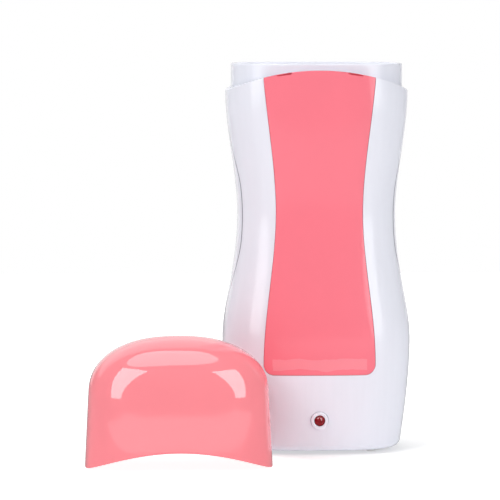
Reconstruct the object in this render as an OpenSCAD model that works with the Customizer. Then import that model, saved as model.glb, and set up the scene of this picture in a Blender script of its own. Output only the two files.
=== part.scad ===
/* [Housing] */
// Height of the collar's rim above the table
rim_z = 164.3; // [158:0.1:178]
// Height of the rim above the middle of the housing's arched top edge
collar_rise = 3.3; // [2.8:0.1:6]
// Radius of the arch that the top edge follows from side to side
arch_r = 93; // [80:1:140]
// Width of the housing at its base
base_w = 70.6; // [68:0.2:76]
// Width at the bulge, the widest place
bulge_w = 79.6; // [78:0.2:86]
// Width at the waist
waist_w = 67; // [65.4:0.2:72]
// Width at the shoulder
shoulder_w = 77.2; // [76:0.2:84]
// Depth of the housing at its base
base_d = 53; // [51:0.2:58]
// Depth at the bulge
bulge_d = 60; // [58:0.2:66]
// Depth at the waist
waist_d = 52; // [51:0.2:58]
// Depth at the shoulder
shoulder_d = 56; // [54:0.2:62]
// Height of the bulge
bulge_z = 47.3; // [42:0.1:54]
// Height of the waist
waist_z = 100.3; // [94:0.1:108]
// Depth below the shoulder's edge at which it reaches its full width
shoulder_drop = 0.6; // [0.2:0.1:6]
// Exponent of the oval section: 2 is an ellipse and more is squarer
squareness = 3; // [2.7:0.1:3.4]
// Radius that rounds the bottom edge
base_round = 3; // [2:0.1:3.6]
// Wall at the sides of the housing
side_wall = 2.2; // [1.8:0.1:2.6]
// Wall of the housing behind the front panel
under_wall = 1.4; // [1:0.1:1.8]
// Gap at the seam between the front and rear shells
seam_gap = 0.3; // [0.2:0.05:0.6]
// How far the side seams sweep forward at the waist
seam_sweep = 13.5; // [4:0.5:14]

/* [Front panel] */
// Thickness of the coloured front panel
panel_t = 1.6; // [1.2:0.1:2]
// Width of the panel at its top edge
panel_top_w = 46.8; // [42:0.2:50]
// Width of the panel at the waist
panel_waist_w = 36.4; // [30:0.2:42]
// Width of the panel at its lower end
panel_low_w = 46.9; // [42:0.2:50]
// Height of the panel's bottom edge
panel_z = 33.7; // [30:0.1:40]
// Radius of the panel's two lower corners
panel_corner_r = 4.4; // [2:0.1:8]
// Gap round the edge of the panel
panel_gap = 0.15; // [0.1:0.05:0.4]
// Distance of each hook slot from the middle of the top edge
hook_x = 15; // [12:0.5:17]
// Width of each hook slot
hook_w = 6.2; // [5:0.1:8]
// Depth of each hook slot below the top edge
hook_slot = 0.6; // [0.4:0.05:1]
// Radius of the pegs on the back of the panel
peg_r = 1.2; // [0.9:0.1:1.5]

/* [Cartridge well] */
// Width of the well, for an oval roll-on cartridge 52 mm wide
well_w = 54; // [53:0.2:54.6]
// Depth of the well, front to back, for a cartridge 33 mm deep
well_d = 35; // [34:0.2:36.5]
// Height of the well's floor above the table
well_floor_z = 46; // [44:0.5:50]
// Wall of the well's sleeve
well_wall = 1.5; // [1.2:0.1:1.6]
// Wall of the collar that the cap goes over
collar_wall = 2; // [1.5:0.1:2.6]
// Depth of the dish inside the collar
dish_depth = 5; // [3:0.5:7]
// Thickness of the dish's floor
dish_t = 2; // [1.5:0.1:3]
// Clearance between two pieces that fit together
fit = 0.15; // [0.1:0.05:0.2]

/* [Cap] */
// Height of the cap at its sides
cap_h = 53.2; // [48:0.2:60]
// Height at which the cap's sides turn into its dome
cap_dome_z = 31; // [28:0.5:36]
// Exponent of the dome's curve: 2 is an ellipse and more is squarer
cap_dome_power = 2.25; // [2:0.05:2.6]
// How much the cap's half width shrinks from its edge to its dome
cap_draft = 1.55; // [1:0.05:1.6]
// Wall of the cap
cap_wall = 1.5; // [1.2:0.05:1.6]
// How far the cap stands to the left of the warmer's middle
cap_left = 59.6; // [58:0.2:90]
// How far the cap stands in front of the warmer's middle
cap_front = 53.7; // [52:0.2:90]
// Width of each rib inside the cap
rib_w = 1.2; // [0.8:0.1:2]

/* [Pilot lamp] */
// Height of the pilot lamp
lamp_z = 14.8; // [13:0.1:20]
// Radius of the lamp's dome
lamp_r = 2.5; // [2:0.1:3]
// Radius of the ring round the lamp
bezel_r = 3.7; // [3.5:0.1:4.5]
// How far the ring stands out of the front
bezel_proud = 1.1; // [0.8:0.1:2]
// Width of the circuit board behind the lamp
board_w = 24; // [22:0.5:28]
// Height of the circuit board
board_h = 14; // [12:0.5:16]
// Thickness of the circuit board
board_t = 1.6; // [1:0.1:2]

/* [Power inlet] */
// Height of the power inlet on the back
inlet_z = 20; // [18:0.5:24]
// Spacing of the two inlet pins
pin_pitch = 8.6; // [8.4:0.1:8.8]
// Radius of each inlet pin
pin_r = 1.2; // [1.1:0.05:1.25]
// Depth of the inlet socket
socket_depth = 15; // [13:0.5:16]

/* [Heater] */
// Height of the heater plate's lower edge
heater_z = 52; // [50:0.5:54]
// Width of the heater plate's face
plate_w = 30; // [26:0.5:32]
// Height of the heater plate's face
plate_h = 28; // [26:0.5:30]
// Thickness of the ceramic heating element
element_t = 2.2; // [1.8:0.1:2.4]
// Radius of the mains wires inside
wire_r = 0.8; // [0.6:0.05:0.9]

/* [Fasteners and feet] */
// Height of the lower pair of case screws
low_screw_z = 36; // [35:0.5:39]
// Depth of the upper pair of case screws below the shoulder's edge
high_screw_drop = 12.6; // [11:0.1:18]
// Distance of the lower case screws from the middle
low_screw_x = 29; // [27:0.5:30]
// Radius of the case screws' shanks
screw_r = 1.1; // [0.9:0.05:1.15]
// Length of the case screws' shanks
screw_len = 18; // [16:0.5:20]
// Radius of the posts that the case screws go through
post_r = 3; // [2.9:0.05:3.1]
// Thickness of the base plate
base_plate_t = 2.2; // [2:0.1:3]
// How far the base plate stands below the shells
plate_proud = 0.5; // [0:0.1:1]
// Height of the feet below the base plate
foot_h = 1; // [0.8:0.1:2]
// Radius of each foot
foot_r = 1.8; // [1.4:0.1:2.2]
// Distance of each foot from the end of the base plate
foot_end = 7.6; // [7:0.1:12]
// Distance of each foot from the side of the base plate
foot_side = 6.4; // [6:0.1:9]
// Depth of the recess that holds each foot
foot_recess = 0.6; // [0.4:0.1:1]

/* [Hidden] */

// Clearances: between seated faces, and round a screw in a plain hole
seat_gap = 0.05;
hole_gap = 0.1;
// How far a cut runs past the face that it opens, and a hole past its screw's tip
past = 1;
tip_gap = 0.6;

// Colours of the mouldings and the metal
white = [0.93, 0.92, 0.96];
pink = [1, 0.5, 0.57];
steel = [0.75, 0.76, 0.78];
brass = [0.8, 0.66, 0.35];

// Smoothness of exact round faces, and of the free surfaces
$fn = 48;
side_cols = 8;
face_cols = 14;
rear_cols = 30;
oval_cols = 60;

// The housing's top edge, an arch from side to side
arch_z = rim_z - collar_rise;
function arch_at(x) = arch_z - arch_r + sqrt(arch_r * arch_r - x * x);
side_z = arch_at(shoulder_w / 2);
shoulder_z = side_z - shoulder_drop;

// Free surfaces: easing, cubic stations and the oval section
hip_share = 0.355;
hip_fall = 0.373;
hip_steepness = 1.6;
base_steepness = 1.4;
function mix(p, q, t) = p + (q - p) * t;
function ease(t) = let (c = min(1, max(0, t))) c * c * (3 - 2 * c);
function cubic(p, q, m, n, t) =
    p * (2 * t * t * t - 3 * t * t + 1) + q * (3 * t * t - 2 * t * t * t)
    + m * (t * t * t - 2 * t * t + t) + n * (t * t * t - t * t);
function curve(s, z) =
    z <= s[0][0] ? s[0][1] + (z - s[0][0]) * s[0][2]
    : z >= s[len(s) - 1][0] ? s[len(s) - 1][1]
    : let (i = [for (k = [0:len(s) - 2]) if (z >= s[k][0]) k],
           k = i[len(i) - 1],
           span = s[k + 1][0] - s[k][0])
      cubic(s[k][1], s[k + 1][1], s[k][2] * span, s[k + 1][2] * span, (z - s[k][0]) / span);
function mean_slope(from, to, rise) = (to - from) / 2 / rise;
function outline_stations(base, bulge, waist, shoulder) =
    [[0, base / 2, base_steepness * mean_slope(base, bulge, bulge_z)],
     [bulge_z, bulge / 2, 0],
     [mix(bulge_z, waist_z, hip_share), mix(bulge, waist, hip_fall) / 2,
      hip_steepness * mean_slope(bulge, waist, waist_z - bulge_z)],
     [waist_z, waist / 2, 0],
     [shoulder_z, shoulder / 2, 0]];
width_stations = outline_stations(base_w, bulge_w, waist_w, shoulder_w);
depth_stations = outline_stations(base_d, bulge_d, waist_d, shoulder_d);

// Where the housing starts and how its bottom edge is rounded
shell_z = foot_h + plate_proud;
function rounding(z) =
    let (d = base_round - (z - shell_z))
    d <= 0 ? 0 : base_round - sqrt(max(0, base_round * base_round - d * d));
function half_w(z) = curve(width_stations, z) - rounding(z);
function half_d(z) = curve(depth_stations, z) - rounding(z);
function power(v, p) = sign(v) * pow(abs(v), p);
function turn(k, n) = 360 * k / n;
function oval_point(a, b, t) = [a * power(cos(t), 2 / squareness), b * power(sin(t), 2 / squareness)];
// Angle on the oval at which a coordinate reaches v, of a half size of s
function angle_y(v, s) = sign(v) * asin(min(1, pow(abs(v) / s, squareness / 2)));
function angle_x(v, s) = acos(min(1, pow(v / s, squareness / 2)));
// Depth of the oval's edge at a given x
function edge_y(a, b, x) = b * pow(max(0, 1 - pow(abs(x) / a, squareness)), 1 / squareness);
function skin_y(z, x, side, face) = edge_y(half_w(z) - side, half_d(z) - face, x);

// Walls that follow from the panel
panel_seat = panel_t + seat_gap;
face_wall = panel_seat + under_wall;

function raised(h, x) = h + (arch_at(x) - side_z) * ease((h - waist_z) / (side_z - waist_z));

// The side seam: forward at the waist, and amidships at the bulge and the shoulder
function seam_y(z) =
    -seam_sweep * ease(1.25 * (z < waist_z ? (z - bulge_z) / (waist_z - bulge_z)
                                           : (shoulder_z - z) / (shoulder_z - waist_z)));

// Half width of the panel's outline, grown by g on every side
panel_waist_lift = 1.7;
panel_top_drop = 4;
panel_low_z = panel_z + panel_corner_r;
panel_flare = (panel_top_w - panel_waist_w) / 2 / (arch_z - waist_z);
function panel_half(z, g) =
    let (w = curve([[panel_low_z, panel_low_w / 2, 0], [waist_z + panel_waist_lift, panel_waist_w / 2, 0],
                    [arch_z - panel_top_drop, panel_top_w / 2, panel_flare]], z) + g,
         r = panel_corner_r + g,
         up = z - (panel_z - g))
    up <= 0 ? w - r : up >= r ? w : w - r + sqrt(r * r - (r - up) * (r - up));

// Rows of a shell, as heights before the arch raises them
round_rows = [for (k = [0:22.5:67.5]) shell_z + base_round * (1 - cos(k))];
function even(from, to, n) = [for (i = [0:n]) mix(from, to, i / n)];
recess_step = 0.25;
recess_z = panel_z - panel_gap;
corner_rows = [for (k = [30:30:90]) panel_z + panel_corner_r * (1 - cos(k))];
front_rows = concat(round_rows, even(shell_z + base_round, recess_z - recess_step, 3),
                    [recess_z], corner_rows, even(panel_low_z + 3, side_z, 16));
rear_rows = concat(round_rows, even(shell_z + base_round, side_z, 20));
panel_rows = concat([panel_z], corner_rows, even(panel_low_z + 3, side_z, 16));

// Angles of the columns across the front half, between its two seams
function front_angles(z, a, b) =
    let (from = angle_y(seam_gap / 2 - seam_y(z), b),
         w = panel_half(z, panel_gap),
         out = angle_x(w + recess_step, a),
         in = angle_x(w, a))
    concat(even(from, out, side_cols), even(in, 180 - in, face_cols),
           even(180 - out, 180 - from, side_cols));
function rear_angles(z, a, b) =
    let (from = angle_y(seam_y(z) + seam_gap / 2, b))
    even(from, 180 - from, rear_cols);

// One point of the front half: column j, nominal height h, set in by side and face
function front_point(h, j, side, face) =
    let (a0 = half_w(h) - side, b0 = half_d(h) - face,
         x0 = oval_point(a0, b0, front_angles(h, a0, b0)[j])[0],
         z = raised(h, x0),
         a = half_w(z) - side, b = half_d(z) - face,
         p = oval_point(a, b, front_angles(z, a, b)[j]),
         sunk = j > side_cols && j < side_cols + face_cols + 2 && h >= recess_z && face == 0)
    [p[0], -p[1] + (sunk ? panel_seat : 0), z];
function rear_point(h, j, side, face) =
    let (a0 = half_w(h) - side, b0 = half_d(h) - face,
         x0 = oval_point(a0, b0, rear_angles(h, a0, b0)[j])[0],
         z = raised(h, x0),
         a = half_w(z) - side, b = half_d(z) - face,
         p = oval_point(a, b, rear_angles(z, a, b)[j]))
    [p[0], p[1], z];
// One point of the panel: its outer face, or its inner face moved back by its thickness
function panel_point(h, j, back) =
    let (w0 = angle_x(panel_half(h, 0), half_w(h)),
         x0 = oval_point(half_w(h), half_d(h), mix(w0, 180 - w0, j / face_cols))[0],
         z = raised(h, x0),
         w = angle_x(panel_half(z, 0), half_w(z)),
         p = oval_point(half_w(z), half_d(z), mix(w, 180 - w, j / face_cols)))
    [p[0], back - p[1], z];

// A solid between two sheets of points with the same rows and columns
module sheet_solid(outer, inner, flip) {
    rows = len(outer);
    cols = len(outer[0]);
    n = rows * cols;
    function at(i, j) = i * cols + j;
    function quad(p, q, r, s) = flip ? [[r, q, p], [s, r, p]] : [[p, q, r], [p, r, s]];
    outside = [for (i = [0:rows - 2], j = [0:cols - 2])
        each quad(at(i, j), at(i + 1, j), at(i + 1, j + 1), at(i, j + 1))];
    inside = [for (i = [0:rows - 2], j = [0:cols - 2])
        each quad(n + at(i, j), n + at(i, j + 1), n + at(i + 1, j + 1), n + at(i + 1, j))];
    ends = [for (j = [0:cols - 2]) each concat(
        quad(at(0, j), at(0, j + 1), n + at(0, j + 1), n + at(0, j)),
        quad(at(rows - 1, j), n + at(rows - 1, j), n + at(rows - 1, j + 1), at(rows - 1, j + 1)))];
    sides = [for (i = [0:rows - 2]) each concat(
        quad(at(i, 0), n + at(i, 0), n + at(i + 1, 0), at(i + 1, 0)),
        quad(at(i, cols - 1), at(i + 1, cols - 1), n + at(i + 1, cols - 1), n + at(i, cols - 1)))];
    polyhedron([for (r = concat(outer, inner)) each r], concat(outside, inside, ends, sides));
}

// A flat oval outline
module oval(w, d) {
    polygon([for (k = [0:oval_cols - 1]) oval_point(w / 2, d / 2, turn(k, oval_cols))]);
}

// A rod along Y from one depth to another
module rod_y(x, z, r, from, to) {
    translate([x, from, z]) rotate([-90, 0, 0]) cylinder(h = to - from, r = r);
}

// A box given by its two opposite corners
module block(lo, hi) {
    translate(lo) cube(hi - lo);
}

// A wire through a list of points, mitred at each bend
wire_sides = 8;
function unit(v) = v / norm(v);
function first_ring(c, d, r) =
    let (u = unit(cross(d, abs(d[2]) < 0.9 ? [0, 0, 1] : [1, 0, 0])), v = cross(d, u))
    [for (k = [0:wire_sides - 1])
        c + r * (cos(turn(k, wire_sides)) * u + sin(turn(k, wire_sides)) * v)];
function slide_ring(ring, c, along, across) =
    [for (p = ring) p + along * ((c - p) * across) / (along * across)];
module wire(path, r) {
    n = len(path);
    m = wire_sides;
    way = [for (i = [0:n - 2]) unit(path[i + 1] - path[i])];
    function across(i) = unit(way[i - 1] + way[min(i, n - 2)]);
    rings = [for (i = 0, ring = first_ring(path[0], way[0], r);
                  i < n;
                  i = i + 1, ring = i < n ? slide_ring(ring, path[i], way[i - 1], across(i)) : ring) ring];
    walls = [for (i = [0:n - 2], k = [0:m - 1])
        let (p = i * m + k, q = i * m + (k + 1) % m)
        each [[p, p + m, q + m], [p, q + m, q]]];
    ends = [[for (k = [0:m - 1]) k], [for (k = [0:m - 1]) n * m - 1 - k]];
    polyhedron([for (ring = rings) each ring], concat(walls, ends));
}

// Case screws: two low ones, and two high ones in the corners beside the well
high_screw_x = well_w / 2 + well_wall + post_r + seat_gap;
high_screw_z = side_z - high_screw_drop;
ear_t = 2;
case_screw_places = [[low_screw_x, low_screw_z, seat_gap],
                     [high_screw_x, high_screw_z, ear_t / 2 + seat_gap]];
screw_seat_y = 11;
screw_head_r = 2.1;
screw_head_t = 1.5;
screw_fit = 0.04;
post_sink = 0.4;

// Small screws: the lamp board's, the inlet's and the clip's
small_r = 0.9;
small_head_r = 1.7;
small_head_t = 1.1;
board_grip = 4.5;
small_grip = 3.5;

// Base plate, its screws and the feet
plate_inset = base_round + side_wall + fit;
plate_half_w = half_w(shell_z) + base_round - plate_inset;
plate_half_d = half_d(shell_z) - face_wall - fit;
plate_top = foot_h + base_plate_t;
base_screw_x = plate_half_w - 5;
base_screw_y = 9;
base_screw_head_r = 2.6;
base_screw_head_t = 1.3;
base_post_r = 2.8;
base_post_h = 11;
base_screw_len = 9;
web_t = 2;
web_lift = 0.3;
foot_x = plate_half_w - foot_end;
foot_y = plate_half_d - foot_side;

// Lamp: where the front face is, and what lies behind it
lamp_face = -half_d(lamp_z);
bezel_seat = lamp_face + 0.45;
bezel_barrel_r = lamp_r + 0.6;
bezel_lip = 0.95;
lamp_dome_y = lamp_face - bezel_proud + bezel_lip + 0.95;
lamp_back = lamp_dome_y + 5.2;
board_y = lamp_back + 4;
board_z = lamp_z - 0.6;
board_screw_x = board_w / 2 - 2.8;
board_post_r = 2.3;
board_post_sink = 0.8;
lead_x = 1.27;
lead_half = 0.25;
lamp_wire_x = 7;
lamp_wire_r = 0.6;
lamp_wire_reach = 4;
resistor_r = 1.2;
resistor_l = 7;
diode_r = 1;
diode_l = 4.4;
parts_rise = 4;

// Inlet: its socket, its flange and the pad that it is screwed to
inlet_out = half_d(inlet_z) - 0.8;
inlet_half_w = 9.8;
inlet_half_h = 5.6;
inlet_back = inlet_out - socket_depth - 4.5;
flange_y = inlet_out - 6.2;
flange_t = 2;
flange_half_w = 16;
flange_half_h = 7.8;
inlet_screw_x = 12.9;
socket_r = 3.85;
socket_x = 3.4;
socket_flat = 2.8;
tag_end = inlet_back - 2.5;
tag_r = 0.8;
pin_short = 3.2;
flange_trim = 0.3;

// Heater: everything stands on the back of the well
well_back = well_d / 2 + well_wall;
plate_back = well_back + 0.6;
film_t = 0.25;
element_z = heater_z + plate_h - 16;
element_h = 14;
element_w = 24;
element_y = plate_back + film_t;
clip_y = element_y + element_t;
clip_t = 0.5;
clip_half = 10 / 2;
clip_z = element_z + element_h / 2 + 1;
clip_screw_x = plate_w / 2 + 6;
clip_foot_y = plate_back + 0.2;
stat_z = heater_z + 1;
stat_h = 7;
stat_w = 14;
stat_t = 3.6;
tab_y = plate_back + 1.8;
tab_x = stat_w / 2 + 2;
tab_half_t = 0.3;
stat_tab_z = stat_z + 2;
stat_tab_top = stat_z + 5;
element_tab_z = element_z - 2.5;
clip_boss_r = 2.2;
fuse_r = 1.7;
fuse_half = 5;
fuse_lead_r = 0.5;
fuse_z = heater_z - 4.5;
fuse_y = well_back + fuse_r + hole_gap;

// Collar: it stands clear of both shells and inside the cap
collar_w = shoulder_w - 2 * (side_wall + fit);
collar_d = shoulder_d - 2 * (face_wall + fit);
collar_z = side_z - 1.4;
dish_z = rim_z - dish_depth;

// Cap: it covers the shoulder and stands on its two side points when it is off
function cap_draft_at(h) = cap_draft * h / cap_dome_z;
function cap_edge(x) = max(0, arch_at(x) - side_z);
cap_top_wall = cap_wall + 0.5;

/* Housing */

module screw_post(x, z, r, from, to) {
    for (s = [-1, 1])
        rod_y(s * x, z, r, from, to);
}

module front_shell() {
    outer = [for (h = front_rows) [for (j = [0:2 * side_cols + face_cols + 2]) front_point(h, j, 0, 0)]];
    inner = [for (h = front_rows)
        [for (j = [0:2 * side_cols + face_cols + 2]) front_point(h, j, side_wall, face_wall)]];
    color(white) difference() {
        union() {
            sheet_solid(outer, inner, true);
            for (p = case_screw_places)
                screw_post(p[0], p[1], post_r - post_sink,
                           -skin_y(p[1], p[0] + post_r, post_sink, post_sink), -p[2]);
            screw_post(board_screw_x, board_z, board_post_r,
                       -skin_y(board_z, board_screw_x, side_wall, face_wall) - board_post_sink, board_y);
            base_posts(-1);
        }
        for (s = [-1, 1]) {
            for (p = case_screw_places)
                rod_y(s * p[0], p[1], screw_r + screw_fit, screw_seat_y - screw_len - tip_gap, 0);
            rod_y(s * board_screw_x, board_z, small_r + screw_fit,
                  board_y - board_grip - tip_gap, board_y + past);
            at_hook(s)
                block([-hook_w / 2, -shoulder_d / 2, -hook_drop - hook_t - seat_gap],
                      [hook_w / 2, -collar_d / 2 + 2, seat_gap - hook_drop]);
        }
        base_screw_holes(-1);
        rod_y(0, lamp_z, bezel_barrel_r + seat_gap, lamp_face - 2, lamp_face + 6);
        rod_y(0, lamp_z, bezel_r + hole_gap, lamp_face - 2, bezel_seat);
        for (p = panel_pegs)
            rod_y(p[0], p[1], peg_r + seat_gap, -half_d(p[1]), -half_d(p[1]) + 8);
    }
}

module rear_shell() {
    outer = [for (h = rear_rows) [for (j = [0:rear_cols]) rear_point(h, j, 0, 0)]];
    inner = [for (h = rear_rows) [for (j = [0:rear_cols]) rear_point(h, j, side_wall, face_wall)]];
    color(white) difference() {
        union() {
            sheet_solid(outer, inner, false);
            for (p = case_screw_places)
                screw_post(p[0], p[1], post_r, p[2],
                           skin_y(p[1], p[0] + post_r, post_sink / 2, post_sink / 2));
            block([-flange_half_w, flange_y, inlet_z - flange_half_h],
                  [flange_half_w, skin_y(inlet_z - flange_half_h, flange_half_w, 0.6, 0.6),
                   inlet_z + flange_half_h]);
            base_posts(1);
        }
        for (s = [-1, 1]) {
            for (p = case_screw_places) {
                rod_y(s * p[0], p[1], screw_r + hole_gap, -past, screw_seat_y + past);
                rod_y(s * p[0], p[1], screw_head_r + 2 * hole_gap, screw_seat_y, bulge_d / 2 + past);
            }
            rod_y(s * inlet_screw_x, inlet_z, small_r + screw_fit,
                  flange_y - past, flange_y + small_grip + tip_gap);
        }
        block([-inlet_half_w - hole_gap, flange_y - past, inlet_z - inlet_half_h - hole_gap],
              [inlet_half_w + hole_gap, bulge_d / 2 + past, inlet_z + inlet_half_h + hole_gap]);
        base_screw_holes(1);
    }
}

// Posts for the base screws, each with a web to the side wall
module base_posts(side) {
    for (s = [-1, 1]) {
        translate([s * base_screw_x, side * base_screw_y, plate_top])
            cylinder(h = base_post_h, r = base_post_r);
        reach = side_wall_x(plate_top + web_lift, base_screw_y + web_t / 2);
        translate([s > 0 ? base_screw_x : -reach, side * base_screw_y - web_t / 2, plate_top + web_lift])
            cube([reach - base_screw_x, web_t, base_post_h - web_lift]);
    }
}
// Middle of the side wall at a height and depth
function side_wall_x(z, y) =
    let (a = half_w(z) - side_wall / 2, b = half_d(z) - face_wall / 2)
    a * pow(1 - pow(abs(y) / b, squareness), 1 / squareness);

module base_screw_holes(side) {
    for (s = [-1, 1])
        translate([s * base_screw_x, side * base_screw_y, plate_top - past])
            cylinder(h = base_screw_len + past, r = screw_r + screw_fit);
}

// Hooks and pegs that hold the panel, and the place of a hook on the arched edge
hook_t = 1.2;
hook_drop = hook_slot + 0.6;
module at_hook(side) {
    translate([side * hook_x, 0, arch_at(hook_x)])
        rotate([0, side * asin(hook_x / arch_r), 0]) children();
}
panel_pegs = [for (s = [-1, 1], z = [panel_z + 9, waist_z + 4]) [s * 11, z]];

module front_panel() {
    outer = [for (h = panel_rows) [for (j = [0:face_cols]) panel_point(h, j, 0)]];
    inner = [for (h = panel_rows) [for (j = [0:face_cols]) panel_point(h, j, panel_t)]];
    color(pink) {
        difference() {
            sheet_solid(outer, inner, true);
            for (s = [-1, 1])
                at_hook(s)
                    block([-hook_w / 2, -shoulder_d / 2 - past, -hook_slot],
                          [hook_w / 2, -collar_d / 2, past]);
        }
        for (s = [-1, 1])
            at_hook(s)
                block([-hook_w / 2 + fit,
                       -skin_y(shoulder_z, hook_x + hook_w / 2, 0, 0) + panel_t - post_sink,
                       -hook_drop - hook_t],
                      [hook_w / 2 - fit, -collar_d / 2 - fit, -hook_drop]);
        for (p = panel_pegs)
            rod_y(p[0], p[1], peg_r, -skin_y(p[1], p[0], 0, 0) + panel_t - post_sink,
                  -skin_y(p[1], p[0], side_wall, face_wall));
    }
}

module base_plate() {
    color(white) difference() {
        translate([0, 0, foot_h])
            linear_extrude(base_plate_t) oval(2 * plate_half_w, 2 * plate_half_d);
        for (x = [-base_screw_x, base_screw_x], y = [-base_screw_y, base_screw_y])
            translate([x, y, foot_h - past]) {
                cylinder(h = past + base_screw_head_t + hole_gap, r = base_screw_head_r + hole_gap);
                cylinder(h = base_plate_t + 2 * past, r = screw_r + hole_gap);
            }
        for (x = [-foot_x, foot_x], y = [-foot_y, foot_y])
            translate([x, y, foot_h - past])
                cylinder(h = foot_recess + past, r = foot_r + seat_gap);
    }
}

module feet() {
    color([0.85, 0.85, 0.84])
        for (x = [-foot_x, foot_x], y = [-foot_y, foot_y])
            translate([x, y, 0]) cylinder(h = foot_h + foot_recess, r = foot_r);
}

module cartridge_well() {
    sleeve_w = well_w + 2 * well_wall;
    sleeve_d = well_d + 2 * well_wall;
    color(white) difference() {
        union() {
            translate([0, 0, well_floor_z - well_wall])
                linear_extrude(dish_z - well_floor_z + well_wall) oval(sleeve_w, sleeve_d);
            translate([0, 0, collar_z])
                linear_extrude(rim_z - collar_z) oval(collar_w, collar_d);
            for (s = [-1, 1]) {
                block([s > 0 ? well_w / 2 : -high_screw_x, -ear_t / 2, high_screw_z - post_r],
                      [s > 0 ? high_screw_x : -well_w / 2, ear_t / 2, high_screw_z + post_r]);
                rod_y(s * high_screw_x, high_screw_z, post_r, -ear_t / 2, ear_t / 2);
                rod_y(s * clip_screw_x, clip_z, clip_boss_r, well_d / 2 - 3, clip_foot_y);
            }
        }
        translate([0, 0, dish_z])
            linear_extrude(dish_depth + past) oval(collar_w - 2 * collar_wall, collar_d - 2 * collar_wall);
        translate([0, 0, well_floor_z])
            linear_extrude(rim_z) oval(well_w, well_d);
        difference() {
            translate([0, 0, collar_z - past])
                linear_extrude(dish_z - dish_t - collar_z + past)
                    oval(collar_w - 2 * collar_wall, collar_d - 2 * collar_wall);
            translate([0, 0, collar_z - 2 * past])
                linear_extrude(dish_z) oval(sleeve_w, sleeve_d);
        }
        block([-plate_w / 2 - hole_gap, 0, heater_z - hole_gap],
              [plate_w / 2 + hole_gap, well_back + past, heater_z + plate_h + hole_gap]);
        for (s = [-1, 1]) {
            rod_y(s * high_screw_x, high_screw_z, screw_r + hole_gap, -ear_t, ear_t);
            rod_y(s * clip_screw_x, clip_z, small_r + screw_fit,
                  clip_foot_y - small_grip - tip_gap, clip_foot_y + past);
        }
    }
}

/* Pilot lamp */

module lamp_bezel() {
    color(white) difference() {
        union() {
            rod_y(0, lamp_z, bezel_r, lamp_face - bezel_proud, bezel_seat);
            rod_y(0, lamp_z, bezel_barrel_r, lamp_face, lamp_back - 1);
        }
        rod_y(0, lamp_z, lamp_r - 0.2, lamp_face - bezel_proud - past, lamp_back);
        rod_y(0, lamp_z, lamp_r + seat_gap, lamp_face - bezel_proud + bezel_lip, lamp_back);
    }
}

module pilot_lamp() {
    color([0.55, 0.06, 0.1]) translate([0, lamp_back, lamp_z]) rotate([90, 0, 0])
        rotate_extrude() {
            square([lamp_r + 0.4, 1]);
            square([lamp_r, lamp_back - lamp_dome_y]);
            translate([0, lamp_back - lamp_dome_y])
                intersection() {
                    circle(r = lamp_r);
                    square(lamp_r);
                }
        }
}

module lamp_leads() {
    color(steel)
        for (s = [-1, 1])
            block([s * lead_x - lead_half, lamp_back, lamp_z - lead_half],
                  [s * lead_x + lead_half, board_y, lamp_z + lead_half]);
}

module lamp_board() {
    color([0.25, 0.5, 0.3]) difference() {
        block([-board_w / 2, board_y, board_z - board_h / 2],
              [board_w / 2, board_y + board_t, board_z + board_h / 2]);
        for (s = [-1, 1])
            rod_y(s * board_screw_x, board_z, small_r + hole_gap, board_y - past, board_y + board_t + past);
    }
}

module lamp_resistor() {
    color([0.75, 0.68, 0.5])
        translate([-resistor_l / 2, board_y + board_t + resistor_r, board_z + parts_rise]) rotate([0, 90, 0])
            cylinder(h = resistor_l, r = resistor_r);
}

module lamp_diode() {
    color([0.15, 0.15, 0.15])
        translate([-diode_l / 2, board_y + board_t + diode_r, board_z - parts_rise]) rotate([0, 90, 0])
            cylinder(h = diode_l, r = diode_r);
}

module small_screw(x, y, z, length, tilt) {
    translate([x, y, z]) rotate([tilt, 0, 0]) {
        cylinder(h = small_head_t, r = small_head_r);
        translate([0, 0, -length]) cylinder(h = length, r = small_r);
    }
}

module board_screws() {
    color(steel)
        for (s = [-1, 1])
            small_screw(s * board_screw_x, board_y + board_t, board_z, board_t + board_grip, -90);
}

/* Heater */

module heat_plate() {
    color([0.8, 0.81, 0.83]) difference() {
        union() {
            block([-plate_w / 2, 2, heater_z], [plate_w / 2, plate_back, heater_z + plate_h]);
            block([-plate_w / 2 - 2, well_back + seat_gap, heater_z - 2],
                  [plate_w / 2 + 2, plate_back, heater_z + plate_h + 2]);
        }
        translate([0, 0, heater_z - 3]) linear_extrude(plate_h + 6) oval(well_w, well_d);
    }
}

module insulation_sheet() {
    color([0.85, 0.6, 0.2])
        block([-element_w / 2 - 1.5, plate_back, element_z - 1],
              [element_w / 2 + 1.5, element_y, element_z + element_h + 1]);
}

module heater_element() {
    color([0.35, 0.33, 0.32]) {
        block([-element_w / 2, element_y, element_z],
              [element_w / 2, clip_y, element_z + element_h]);
        for (s = [-1, 1])
            block([s * tab_x - 1.5, tab_y - tab_half_t, element_tab_z],
                  [s * tab_x + 1.5, tab_y + tab_half_t, element_z + 0.5]);
    }
}

module heater_clip() {
    x1 = element_w / 2 + 0.6;
    x2 = clip_screw_x - 3;
    x3 = clip_screw_x + 2.6;
    color(steel) difference() {
        translate([0, 0, clip_z - clip_half]) linear_extrude(2 * clip_half)
            polygon([[-x3, clip_foot_y], [-x2, clip_foot_y], [-x1, clip_y], [x1, clip_y],
                     [x2, clip_foot_y], [x3, clip_foot_y], [x3, clip_foot_y + clip_t],
                     [x2 - 0.2, clip_foot_y + clip_t], [x1 - 0.2, clip_y + clip_t],
                     [-x1 + 0.2, clip_y + clip_t], [-x2 + 0.2, clip_foot_y + clip_t],
                     [-x3, clip_foot_y + clip_t]]);
        for (s = [-1, 1])
            rod_y(s * clip_screw_x, clip_z, small_r + hole_gap, clip_foot_y - past, clip_foot_y + 2);
    }
}

module clip_screws() {
    color(steel)
        for (s = [-1, 1])
            small_screw(s * clip_screw_x, clip_foot_y + clip_t, clip_z, clip_t + small_grip, -90);
}

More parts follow.
